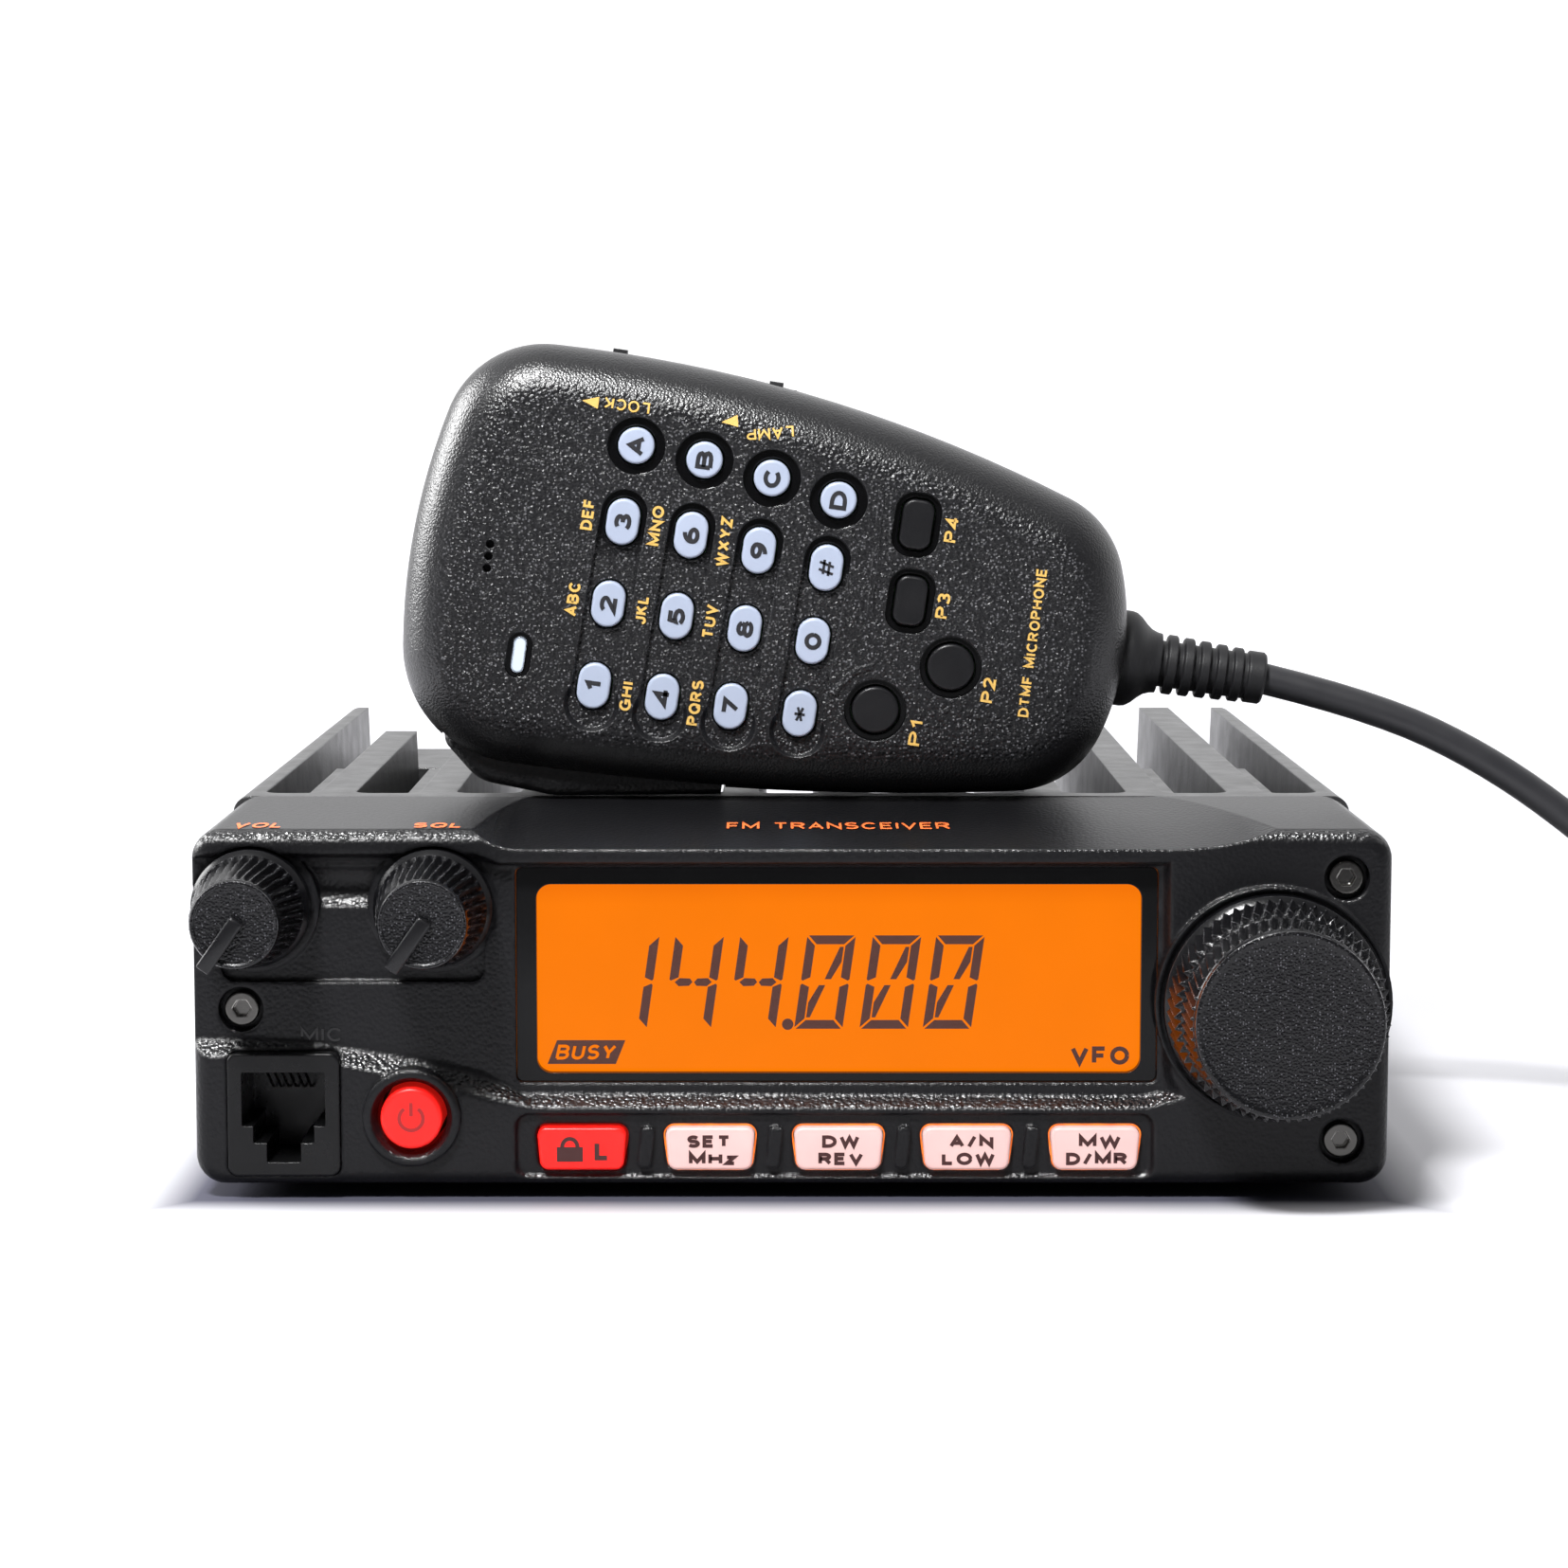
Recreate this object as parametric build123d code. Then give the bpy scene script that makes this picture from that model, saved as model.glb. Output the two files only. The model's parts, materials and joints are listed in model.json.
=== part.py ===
from build123d import *
from math import atan2, cos, degrees, pi, radians, sin, tan
import os

# Mobile two-way radio with its keypad hand microphone standing on top.
# Millimetres. X to the right, Y to the back, Z up. The origin is on the ground, under the middle.

# ---- Radio: driving dimensions
WIDTH = 160.0
HEIGHT = 50.0
DEPTH = 185.0                     # front face to the ends of the fins
FACE_Y = -DEPTH / 2
REAR_Y = DEPTH / 2
SIDE_X = WIDTH / 2
DIAL_REACH = 18.0                 # how far the main dial stands in front of the face
SOCKET_REACH = 18.0               # how far the antenna socket stands behind the fins

COVER_T = 1.5                     # bottom cover plate
PANEL_DEPTH = 41.0
SEAM_Y = FACE_Y + PANEL_DEPTH
PANEL_BOTTOM = 2.0
PANEL_CORNER = 4.0
FACE_RECESS = 2.2                 # the face between chin and hood lies this far back
FRONT_WALL = 6.0
PANEL_WALL = 2.6
PANEL_CEILING = 44.5

CHASSIS_WALL = 4.0
CAVITY_TOP = 30.0
TROUGH_Z = 33.0
TROUGH_FRONT_Y = FACE_Y + 45.0
FIN_PITCH = 14.6
FIN_T = 5.2
SIDE_FIN_T = 3.9
FIN_DRAFT = 2.0                   # degrees
SHORT_FIN_Y = FACE_Y + 140.0

# ---- Controls on the face, as (X, Z)
VOLUME_AT = (-72.1, 39.5)
SQUELCH_AT = (-47.8, 39.5)
DIAL_AT = (64.2, 26.8)
POWER_AT = (-50.8, 11.45)
PANEL_SCREWS_AT = [(-73.8, 25.6), (73.8, 43.6), (73.6, 8.1)]
KNOB_R = 7.5
KNOB_FACE_R = 5.85
KNOB_BASE_R = 8.0
KNOB_REACH = 16.0
DIAL_R = 14.6
DIAL_FACE_R = 12.35
DIAL_BASE_R = 15.4
SHAFT_R = 3.0
SHAFT_CLEARANCE = 0.06
POWER_R = 4.15
BUTTON_PITCH = 17.17
BUTTON_NAMES = ["lock_button", "set_button", "watch_button", "name_button", "memory_button"]
FIRST_BUTTON_X = -28.1
BUTTON_Z = (4.25, 10.05)
BUTTON_TOP_W = 12.1
BUTTON_BOTTOM_W = 11.1
BUTTON_GAP = 0.3
LCD_X = (-34.2, 46.8)
LCD_Z = (16.8, 42.4)
WINDOW_X = (-37.0, 49.0)
WINDOW_Z = (15.6, 44.8)
JACK_X = (-75.5, -60.4)
JACK_Z = (3.4, 20.1)

# ---- Depths behind the face
WINDOW_Y = FACE_Y + 2.9
WINDOW_T = 1.4
BOARD_Y = FACE_Y + 14.0
BOARD_T = 1.6

# ---- Microphone: its own axes are x from the cord end to its top, y towards the talk lever,
#      z out of the keypad. It lies on its side, leaning a little.
MIC_AT = (47.3, FACE_Y + 46.0, 69.55)
MIC_TILT = 8.4
MIC_T = 28.0
MIC_HALF = MIC_T / 2
MIC_WALL = 2.2
MIC_EDGE_R = 8.0
KEY_TURN = 1.9                    # the key grid is turned this much to the body, degrees
KEY_ORIGIN = (73.45, 2.2)         # the key at the top of the middle row of digits
KEY_COLUMN = 9.72
KEY_ROW = 11.7
LETTER_ROW = 10.8
KEY_TAPER = 0.012                 # rows draw together towards the cord end
KEY_NAMES = [
    ["key_1", "key_2", "key_3", "key_a"],
    ["key_4", "key_5", "key_6", "key_b"],
    ["key_7", "key_8", "key_9", "key_c"],
    ["key_star", "key_0", "key_hash", "key_d"],
]
KEY_W = 4.6
KEY_L = 6.5
LETTER_R = 2.55
KEY_CHANNEL = 0.9
KEY_CHANNEL_W = 6.5
KEY_PROUD = 0.15
KEY_GAP = 0.25
PTT_T = 18.0
PTT_GAP = 0.45
CORD_R = 2.25
RELIEF_L = 20.9

# ---- The put-away coil of microphone cord
COIL_AT = (160.0, FACE_Y + 70.0)
COIL_MEAN_R = 25.0
COIL_BAND = 5.2                   # half the width of the coiled turns
COIL_H = 13.7                     # three layers of two turns

os.makedirs("parts", exist_ok=True)
made = {}


def keep(name, shape):
    """Write one sub-part and remember it."""
    export_step(shape, f"parts/{name}.step")
    made[name] = shape


def block(x_span, y_span, z_span):
    """Box between the given spans."""
    size = [span[1] - span[0] for span in (x_span, y_span, z_span)]
    middle = [(span[1] + span[0]) / 2 for span in (x_span, y_span, z_span)]
    return Pos(*middle) * Box(*size)


def rod_y(at, radius, y_span):
    """Round bar along Y at (X, Z)."""
    return Pos(at[0], sum(y_span) / 2, at[1]) * Rot(X=90) * Cylinder(radius, y_span[1] - y_span[0])


def front_plane(y):
    """Plane seen from the front: its x is X, its y is Z, and it faces the viewer."""
    return Plane(origin=(0, y, 0), x_dir=(1, 0, 0), z_dir=(0, -1, 0))


def slab(sketch, y_span):
    """A front-view sketch given depth from y_span[0] back to y_span[1]."""
    return extrude(front_plane(y_span[1]) * sketch, amount=y_span[1] - y_span[0])


def rounded(x_span, z_span, radius):
    """Rectangle with round corners, in front view."""
    middle = Pos(sum(x_span) / 2, sum(z_span) / 2)
    return middle * RectangleRounded(x_span[1] - x_span[0], z_span[1] - z_span[0], radius)


def inset(span, amount):
    """A span drawn in at both ends."""
    return (span[0] + amount, span[1] - amount)


def outline(points):
    """Closed straight-sided outline."""
    return make_face(Polyline(*points, close=True))


def capsule(start, end, width):
    """Round-ended slot from start to end, as a sketch."""
    run = (end[0] - start[0], end[1] - start[1])
    length = (run[0] ** 2 + run[1] ** 2) ** 0.5
    turn = degrees(atan2(run[1], run[0]))
    middle = Pos((start[0] + end[0]) / 2, (start[1] + end[1]) / 2)
    return middle * Rot(Z=turn) * SlotCenterToCenter(length, width)


def edges_at_y(shape, y):
    """Edges lying wholly at one depth."""
    return shape.edges().filter_by_position(Axis.Y, y - 0.01, y + 0.01)


# ---- Radio body

def fin_centres():
    """X of the inner fins, from left to right."""
    half = [FIN_PITCH * (step + 0.5) for step in range(5)]
    return [-x for x in reversed(half)] + half


def trough_spans():
    """X spans between the fins."""
    walls = [(-SIDE_X, -SIDE_X + SIDE_FIN_T)]
    walls += [(x - FIN_T / 2, x + FIN_T / 2) for x in fin_centres()]
    walls += [(SIDE_X - SIDE_FIN_T, SIDE_X)]
    return [(left[1], right[0]) for left, right in zip(walls, walls[1:])]


def trough(x_span):
    """The space between two fins, wider at the top, round at its front corners."""
    length = REAR_Y + 20 - TROUGH_FRONT_Y
    middle = Pos(sum(x_span) / 2, TROUGH_FRONT_Y + length / 2, HEIGHT)
    mouth = Plane(middle) * RectangleRounded(x_span[1] - x_span[0], length, 2.5)
    return extrude(mouth, amount=-(HEIGHT - TROUGH_Z), taper=FIN_DRAFT)


SHELF_W = 3.0
SHELF_END_Y = FACE_Y + 94.0
SHELF_DROP = 1.6
GLAND_AT = (-62.0, 35.0)
GLAND_R = 4.6
GLAND_BOX_X = (-69.0, -55.0)
GLAND_BOX_Y = (FACE_Y + 152.0, REAR_Y)
GLAND_BOX_TOP = 42.5
SOCKET_AT = (50.0, 17.5)
SOCKET_R = 7.95
SOCKET_NECK_R = 7.0
SPEAKER_JACK_AT = (20.0, 17.5)
SPEAKER_JACK_R = 3.9
BRACKET_Y = (-15.0, 45.0)
BRACKET_Z = 22.0
BRACKET_HOLE_R = 1.65
BRACKET_BOSS = 4.0
COVER_SCREWS_AT = [(x, y) for x in (-71.0, 71.0) for y in (-38.0, 22.0, 82.0)]
COVER_SCREW_R = 1.4
COVER_HEAD_R = 2.7
PILLARS_AT = [(x, y) for x in (-66.0, 66.0) for y in (-34.0, 70.0)]
MAIN_BOARD_Z = 19.6


def chassis():
    """Die-cast heat-sink body: cooling fins on top, open below and in front."""
    body = block((-SIDE_X, SIDE_X), (SEAM_Y, REAR_Y), (COVER_T, HEIGHT))
    long_edges = body.edges().filter_by(Axis.Y)
    body = fillet(long_edges.group_by(Axis.Z)[-1], 2.4)
    body = fillet(body.edges().filter_by(Axis.Y).group_by(Axis.Z)[0], 1.5)
    for x_span in trough_spans():
        body -= trough(x_span)
    short = fin_centres()[0]
    body -= block((short - FIN_T, short + FIN_T), (SHORT_FIN_Y, REAR_Y + 1), (TROUGH_Z, HEIGHT + 1))
    for centre in fin_centres():
        if abs(centre) > 3 * FIN_PITCH:
            away = 1 if centre > 0 else -1
            inner = centre + away * FIN_T / 2
            x_span = sorted((inner - 0.4 * away, inner + away * SHELF_W))
            shelf = block(x_span, (TROUGH_FRONT_Y - 1, SHELF_END_Y), (TROUGH_Z - 1, HEIGHT - SHELF_DROP))
            body += shelf
    body += block(GLAND_BOX_X, GLAND_BOX_Y, (TROUGH_Z - 1, GLAND_BOX_TOP))
    x_inside = (-SIDE_X + CHASSIS_WALL, SIDE_X - CHASSIS_WALL)
    y_inside = (SEAM_Y - 1, REAR_Y - CHASSIS_WALL)
    body -= block(x_inside, y_inside, (COVER_T - 1, CAVITY_TOP))
    gland_x = (GLAND_BOX_X[0] + 2, GLAND_BOX_X[1] - 2)
    gland_y = (GLAND_BOX_Y[0] + 2, REAR_Y - CHASSIS_WALL)
    body -= block(gland_x, gland_y, (CAVITY_TOP - 1, GLAND_BOX_TOP - 2))
    for x, y in PILLARS_AT:
        body += Pos(x, y, (MAIN_BOARD_Z + BOARD_T + CAVITY_TOP + 1) / 2) * Cylinder(
            3.2, CAVITY_TOP + 1 - MAIN_BOARD_Z - BOARD_T
        )
    for x, y in COVER_SCREWS_AT:
        post = block(sorted((x, x + 5.5 * (1 if x > 0 else -1))), (y - 3.6, y + 3.6), (COVER_T, 12.0))
        body += post + Pos(x, y, (COVER_T + 12.0) / 2) * Cylinder(3.6, 12.0 - COVER_T)
        body -= Pos(x, y, COVER_T + 4.5) * Cylinder(COVER_SCREW_R + 0.05, 9.2)
    for at in PANEL_SCREWS_AT:
        if at[1] < CAVITY_TOP:
            body += rod_y(at, 3.4, (SEAM_Y, SEAM_Y + 7.0))
        body -= rod_y(at, PANEL_SCREW_R + 0.05, (SEAM_Y - 1, SEAM_Y + 3.9))
    for side in (-1, 1):
        for y in BRACKET_Y:
            inner_x = side * (SIDE_X - CHASSIS_WALL - BRACKET_BOSS / 2)
            body += Pos(inner_x, y, BRACKET_Z) * Rot(Y=90) * Cylinder(4.0, BRACKET_BOSS)
            through = Rot(Y=90) * Cylinder(BRACKET_HOLE_R, 2 * CHASSIS_WALL + 0.01)
            body -= Pos(side * (SIDE_X - CHASSIS_WALL), y, BRACKET_Z) * through
    wall_y = (REAR_Y - CHASSIS_WALL - 1, REAR_Y + 1)
    body -= rod_y(GLAND_AT, GLAND_R, wall_y)
    body -= rod_y(SOCKET_AT, SOCKET_NECK_R, wall_y)
    body -= rod_y(SPEAKER_JACK_AT, SPEAKER_JACK_R, wall_y)
    return body


SPEAKER_AT = (0.0, 8.0)
SPEAKER_R = 25.0
SPEAKER_H = 9.0


def bottom_cover():
    """Flat steel cover that the radio stands on, slotted under the loudspeaker."""
    length = REAR_Y - SEAM_Y - 4
    plate = Pos(0, (REAR_Y + SEAM_Y) / 2, 0) * RectangleRounded(WIDTH - 5, length, 3)
    cover = extrude(plate, amount=COVER_T)
    for step in range(-3, 4):
        slot_length = 2 * (SPEAKER_R ** 2 - (7 * step) ** 2) ** 0.5 - 8
        slot = Pos(SPEAKER_AT[0], SPEAKER_AT[1] + 6.5 * step, 0) * SlotOverall(slot_length, 2.4)
        cover -= extrude(slot, amount=COVER_T)
    for x, y in COVER_SCREWS_AT:
        cover -= Pos(x, y, COVER_T / 2) * Cone(COVER_HEAD_R + 0.1, COVER_SCREW_R + 0.1, COVER_T)
    return cover


def cover_screws():
    """Countersunk screws of the bottom cover."""
    screws = []
    for x, y in COVER_SCREWS_AT:
        head = Pos(x, y, COVER_T / 2) * Cone(COVER_HEAD_R, COVER_SCREW_R, COVER_T)
        head -= Pos(x, y, 0.4) * (Box(3.2, 0.7, 0.9) + Box(0.7, 3.2, 0.9))
        screws.append(head + Pos(x, y, COVER_T + 3.9) * Cylinder(COVER_SCREW_R, 7.8))
    return Compound(children=screws)


# ---- Front panel

PANEL_SCREW_R = 1.5
PANEL_HEAD_R = 2.35
PANEL_SCREW_SINK = 2.4
PANEL_POST_R = 3.9
COLLAR_R = 8.9
DIAL_COLLAR_R = 15.8
COLLAR_RISE = 1.0
BUSH_R = 4.5
BAY_DEPTH = 1.4
KNOB_SEAT_Y = FACE_Y + 2.1


FIELD_MOUTH = [
    (-82.0, 19.1), (-72.0, 19.1), (-65.0, 18.8), (-58.7, 17.7), (-50.0, 15.9), (-44.6, 14.5), (-41.0, 13.4),
    (-37.5, 12.8), (-34.0, 12.4), (44.0, 12.3), (48.0, 12.5), (53.4, 14.0), (51.4, 16.4), (50.6, 19.0),
    (50.6, 45.8), (-39.0, 45.8), (-42.0, 47.0), (-82.0, 47.0),
]
FIELD_FLOOR = [
    (-82.0, 22.0), (-72.0, 21.9), (-65.0, 21.5), (-58.7, 20.5), (-51.0, 19.3), (-45.5, 18.3), (-42.4, 17.6),
    (-39.5, 16.2), (-36.6, 14.4), (44.0, 14.0), (47.2, 14.0), (49.0, 14.6), (49.4, 16.6), (49.4, 19.6),
    (49.4, 44.9), (-39.4, 44.9), (-42.4, 45.9), (-82.0, 45.9),
]


def face_recess():
    """The shallow field between the chin and the hood, open at the left; its borders roll in and out."""
    sections = []
    for share in (0.0, 0.12, 0.28, 0.45, 0.62, 0.8, 1.0):
        edge = [
            (x + share * (floor_x - x), z + share * (floor_z - z))
            for (x, z), (floor_x, floor_z) in zip(FIELD_MOUTH, FIELD_FLOOR)
        ]
        depth = FACE_RECESS * share * share * (3 - 2 * share)
        sections.append(front_plane(FACE_Y + depth) * outline(edge))
    return loft(sections, ruled=True)


def label_slope():
    """Cutter for the sloping label strip above the display; it runs out slowly at its right end."""
    left, right, height = -46.0, 95.0, 60.0
    cutter = Pos((left + right) / 2, 0, height / 2) * Box(right - left, 62, height)
    foot = cutter.edges().filter_by(Axis.Y).group_by(Axis.Z)[0].sort_by(Axis.X)
    cutter = fillet(foot[0], 10)
    foot = cutter.edges().filter_by(Axis.Y).group_by(Axis.Z)[0].sort_by(Axis.X)
    cutter = fillet(foot[-1], 45)
    slope = degrees(atan2(2.5, PANEL_DEPTH))
    return Pos(0, SEAM_Y + 1, HEIGHT) * Rot(X=slope) * Pos(0, -31, 0) * cutter


def button_sketch(grow=0.0):
    """Face of one button, centred on X, narrower at its foot."""
    top = BUTTON_TOP_W / 2 + grow
    foot = BUTTON_BOTTOM_W / 2 + grow
    low = BUTTON_Z[0] - grow
    high = BUTTON_Z[1] + grow
    face = outline([(-foot, low), (foot, low), (top, high), (-top, high)])
    return fillet(face.vertices(), 1.2 + grow)


def button_x(index):
    return FIRST_BUTTON_X + BUTTON_PITCH * index


def within_panel(shape):
    """Trim a shape to a little inside the panel's outer faces."""
    sketch = rounded((-SIDE_X + 0.3, SIDE_X - 0.3), (PANEL_BOTTOM + 1, HEIGHT - 3), PANEL_CORNER)
    return shape & slab(sketch, (FACE_Y - 5, SEAM_Y))


POWER_COLLAR_R = 6.6
COLLAR_PROUD = 1.3
COLLAR_MOUTH_R = 5.5


def power_collar():
    """Raised ring round the power button."""
    collar = rod_y(POWER_AT, POWER_COLLAR_R, (FACE_Y - COLLAR_PROUD, FACE_Y + 2.2))
    return fillet(edges_at_y(collar, FACE_Y - COLLAR_PROUD), 0.5)


def front_panel():
    """Moulded front: hood, recessed field, chin, and the holes for every control."""
    body = slab(rounded((-SIDE_X, SIDE_X), (PANEL_BOTTOM, HEIGHT), PANEL_CORNER), (FACE_Y, SEAM_Y))
    body = fillet(edges_at_y(body, FACE_Y), 2.2)
    body -= label_slope()
    body -= face_recess()
    recess_y = FACE_Y + FACE_RECESS
    bay = rounded((-76.4, -41.0), (29.3, 45.6), 2.0)
    body -= slab(bay, (FACE_Y + 1, recess_y + BAY_DEPTH))
    between = ((VOLUME_AT[0] + SQUELCH_AT[0]) / 2, recess_y + BAY_DEPTH - 2.6, 42.0)
    body -= Pos(*between) * Rot(Y=90) * Cylinder(3.8, SQUELCH_AT[0] - VOLUME_AT[0] + 4)
    for at in (VOLUME_AT, SQUELCH_AT):
        body += within_panel(rod_y(at, COLLAR_R, (KNOB_SEAT_Y + 0.3, FACE_Y + FRONT_WALL)))
        body -= rod_y(at, KNOB_BASE_R + 0.4, (FACE_Y - 1, KNOB_SEAT_Y + 0.3))
    body += rod_y(DIAL_AT, DIAL_COLLAR_R, (FACE_Y - COLLAR_RISE, FACE_Y + FRONT_WALL))
    body -= rod_y(DIAL_AT, DIAL_BASE_R - 0.1, (FACE_Y - 2, FACE_Y - 0.2))
    shell_x = (-SIDE_X + PANEL_WALL, SIDE_X - PANEL_WALL)
    shell_z = (PANEL_BOTTOM + PANEL_WALL, PANEL_CEILING)
    body -= block(shell_x, (FACE_Y + FRONT_WALL, SEAM_Y + 1), shell_z)
    for at in (VOLUME_AT, SQUELCH_AT, DIAL_AT):
        body -= rod_y(at, BUSH_R, (FACE_Y - 2, FACE_Y + FRONT_WALL + 1))
    body -= slab(rounded(WINDOW_X, WINDOW_Z, 1.0), (FACE_Y + 1, FACE_Y + FRONT_WALL + 1))
    bay_mouth = front_plane(FACE_Y) * rounded((-37.2, 48.6), (2.5, 11.9), 2.0)
    bay_floor = front_plane(FACE_Y + 0.9) * rounded((-36.6, 48.0), (3.5, 11.5), 1.4)
    body -= loft([bay_mouth, bay_floor], ruled=True)
    for index in range(len(BUTTON_NAMES)):
        hole = Pos(button_x(index), 0) * button_sketch(BUTTON_GAP)
        body -= slab(hole, (FACE_Y - 1, BOARD_Y))
    for index in range(len(BUTTON_NAMES) - 1):
        bar = Pos(button_x(index) + BUTTON_PITCH / 2, 7.2) * Rot(Z=-6) * RectangleRounded(1.7, 5.6, 0.6)
        body += slab(bar, (FACE_Y - 0.1, FACE_Y + 1.2))
    body += power_collar()
    body -= rod_y(POWER_AT, POWER_R + 0.5, (FACE_Y - 2, FACE_Y + FRONT_WALL + 1))
    x, z = POWER_AT
    body -= Pos(x, FACE_Y - COLLAR_PROUD + 0.9, z) * Rot(X=90) * Cone(POWER_R + 0.5, COLLAR_MOUTH_R, 1.82)
    jack_hole = rounded((JACK_X[0] - 0.1, JACK_X[1] + 0.1), (JACK_Z[0] - 0.1, JACK_Z[1] + 0.1), 1.5)
    body -= slab(jack_hole, (FACE_Y - 1, BOARD_Y + 0.1))
    for at in PANEL_SCREWS_AT:
        body += within_panel(rod_y(at, PANEL_POST_R, (FACE_Y + 3.0, SEAM_Y)))
        body -= rod_y(at, PANEL_HEAD_R + 0.7, (FACE_Y - 1, screw_seat(at)))
        body -= rod_y(at, PANEL_SCREW_R + 0.15, (FACE_Y - 1, SEAM_Y + 1))
    return body


def screw_seat(at):
    """Depth of the shoulder a panel screw pulls on: deeper where the face is recessed."""
    return FACE_Y + PANEL_SCREW_SINK + (FACE_RECESS if at[0] < 0 else 0.0)


def panel_screws():
    """Socket-head screws that pull the panel against the chassis."""
    screws = []
    for at in PANEL_SCREWS_AT:
        seat = screw_seat(at)
        head = rod_y(at, PANEL_HEAD_R, (seat - 1.7, seat))
        head = fillet(edges_at_y(head, seat - 1.7), 0.3)
        key_hole = slab(Pos(*at) * RegularPolygon(1.25, 6), (seat - 2, seat - 0.5))
        screws.append(head - key_hole + rod_y(at, PANEL_SCREW_R, (seat, SEAM_Y + 3.5)))
    return Compound(children=screws)


def display_window():
    """Glossy black frame round the display."""
    outer = rounded(inset(WINDOW_X, 0.1), inset(WINDOW_Z, 0.1), 0.9)
    frame = slab(outer, (WINDOW_Y, WINDOW_Y + WINDOW_T))
    return frame - slab(rounded(LCD_X, LCD_Z, 2.0), (WINDOW_Y - 1, WINDOW_Y + WINDOW_T + 1))


def lcd_module():
    """Liquid-crystal glass with its light guide, between the window and the panel board."""
    sketch = rounded(inset(WINDOW_X, 0.4), inset(WINDOW_Z, 0.4), 0.8)
    return slab(sketch, (WINDOW_Y + WINDOW_T, BOARD_Y))


def panel_board():
    """Circuit board that carries the display, switches and controls."""
    board = block((-75.0, 75.0), (BOARD_Y, BOARD_Y + BOARD_T), (PANEL_BOTTOM + 3.4, 43.6))
    for at in PANEL_SCREWS_AT:
        board -= rod_y(at, PANEL_POST_R + 0.3, (BOARD_Y - 1, BOARD_Y + BOARD_T + 1))
    connector = block((-15.0, 15.0), (BOARD_Y + BOARD_T, BOARD_Y + 7.0), (12.0, 20.0))
    return board + connector


def control(at, half_width, z_span):
    """Body and threaded bush of a rotary control, bored for its shaft."""
    x_span = (at[0] - half_width, at[0] + half_width)
    body = block(x_span, (FACE_Y + FRONT_WALL, BOARD_Y), z_span)
    body += rod_y(at, BUSH_R - 0.1, (FACE_Y + 3.2, FACE_Y + FRONT_WALL + 1))
    return body - rod_y(at, SHAFT_R + SHAFT_CLEARANCE, (FACE_Y, BOARD_Y - 1.5))


def potentiometers():
    """The volume and squelch controls behind their knobs."""
    return Compound(children=[control(at, 4.9, (34.6, 43.5)) for at in (VOLUME_AT, SQUELCH_AT)])


def dial_encoder():
    """Stepping control behind the main dial."""
    return control(DIAL_AT, 7.0, (DIAL_AT[1] - 7.0, DIAL_AT[1] + 7.0))


def knob(at, radius, face_radius, base_radius, reach, seat_y):
    """Turning knob: a skirt that narrows to a flat face, on a smooth base ring, with its shaft."""
    front = FACE_Y - reach
    profile = [
        (0, front), (face_radius - 0.3, front), (face_radius, front + 0.4),
        (radius - 0.9, front + 0.45 * reach), (radius, seat_y - 2.0),
        (base_radius, seat_y - 1.6), (base_radius, seat_y), (0, seat_y),
    ]
    half = make_face(Plane.XY * Polyline(*profile, close=True))
    turned = Pos(at[0], 0, at[1]) * revolve(half, Axis.Y)
    shaft_span = (front + 4.0, BOARD_Y - 2.0)
    bore = rod_y(at, SHAFT_R, (shaft_span[0], seat_y + 1))
    return Compound(children=[turned - bore, rod_y(at, SHAFT_R, shaft_span)])


POINTER_RISE = 0.9
POINTER_TURN = 235.0              # seven o'clock, the low end of the travel


def pointer(at, turn, front):
    """Raised bar on a knob's face, from its middle out to the rim."""
    bar = Pos(*at) * Rot(Z=turn) * Pos(3.2, 0) * RectangleRounded(8.0, 2.1, 0.6)
    return slab(bar, (front - POINTER_RISE, front))


def small_knob(at):
    """Volume or squelch knob with its pointer at the seven o'clock stop."""
    plain = knob(at, KNOB_R, KNOB_FACE_R, KNOB_BASE_R, KNOB_REACH - POINTER_RISE, KNOB_SEAT_Y)
    grip, shaft = plain.children
    return Compound(children=[grip + pointer(at, POINTER_TURN, FACE_Y - KNOB_REACH + POINTER_RISE), shaft])


def power_button():
    front = FACE_Y - COLLAR_PROUD - 0.2
    cap = rod_y(POWER_AT, POWER_R, (front, BOARD_Y - 1.2))
    return fillet(edges_at_y(cap, front), 0.6)


def push_button(index):
    cap = slab(Pos(button_x(index), 0) * button_sketch(), (FACE_Y - 0.5, BOARD_Y - 1.2))
    return fillet(edges_at_y(cap, FACE_Y - 0.5), 0.45)


def mic_jack():
    """Six-way modular socket: a wide slot with a stepped keyway below for the latch."""
    body = slab(rounded(JACK_X, JACK_Z, 1.4), (FACE_Y - 0.5, BOARD_Y))
    body = fillet(edges_at_y(body, FACE_Y - 0.5), 0.35)
    middle = sum(JACK_X) / 2
    depth = (FACE_Y - 1, FACE_Y + 12.0)
    for half_width, low, high in ((5.6, 10.2, 17.5), (4.1, 7.9, 10.3), (2.3, 5.3, 8.0)):
        body -= slab(rounded((middle - half_width, middle + half_width), (low, high), 0.3), depth)
    return body


# ---- Inside and behind the radio

def main_board():
    """Main circuit board with its screening cans below it."""
    board = block((-71.0, 71.0), (-43.0, 76.0), (MAIN_BOARD_Z, MAIN_BOARD_Z + BOARD_T))
    for x, y in ((-50.0, -20.0), (50.0, -20.0), (-48.0, 48.0), (48.0, 50.0)):
        board += block((x - 14, x + 14), (y - 16, y + 16), (MAIN_BOARD_Z - 5.5, MAIN_BOARD_Z))
    return board


def power_module():
    """Transmitter power module, screwed up against the underside of the heat sink."""
    return block((-10.0, 50.0), (60.0, 74.0), (CAVITY_TOP - 6.0, CAVITY_TOP))


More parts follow.
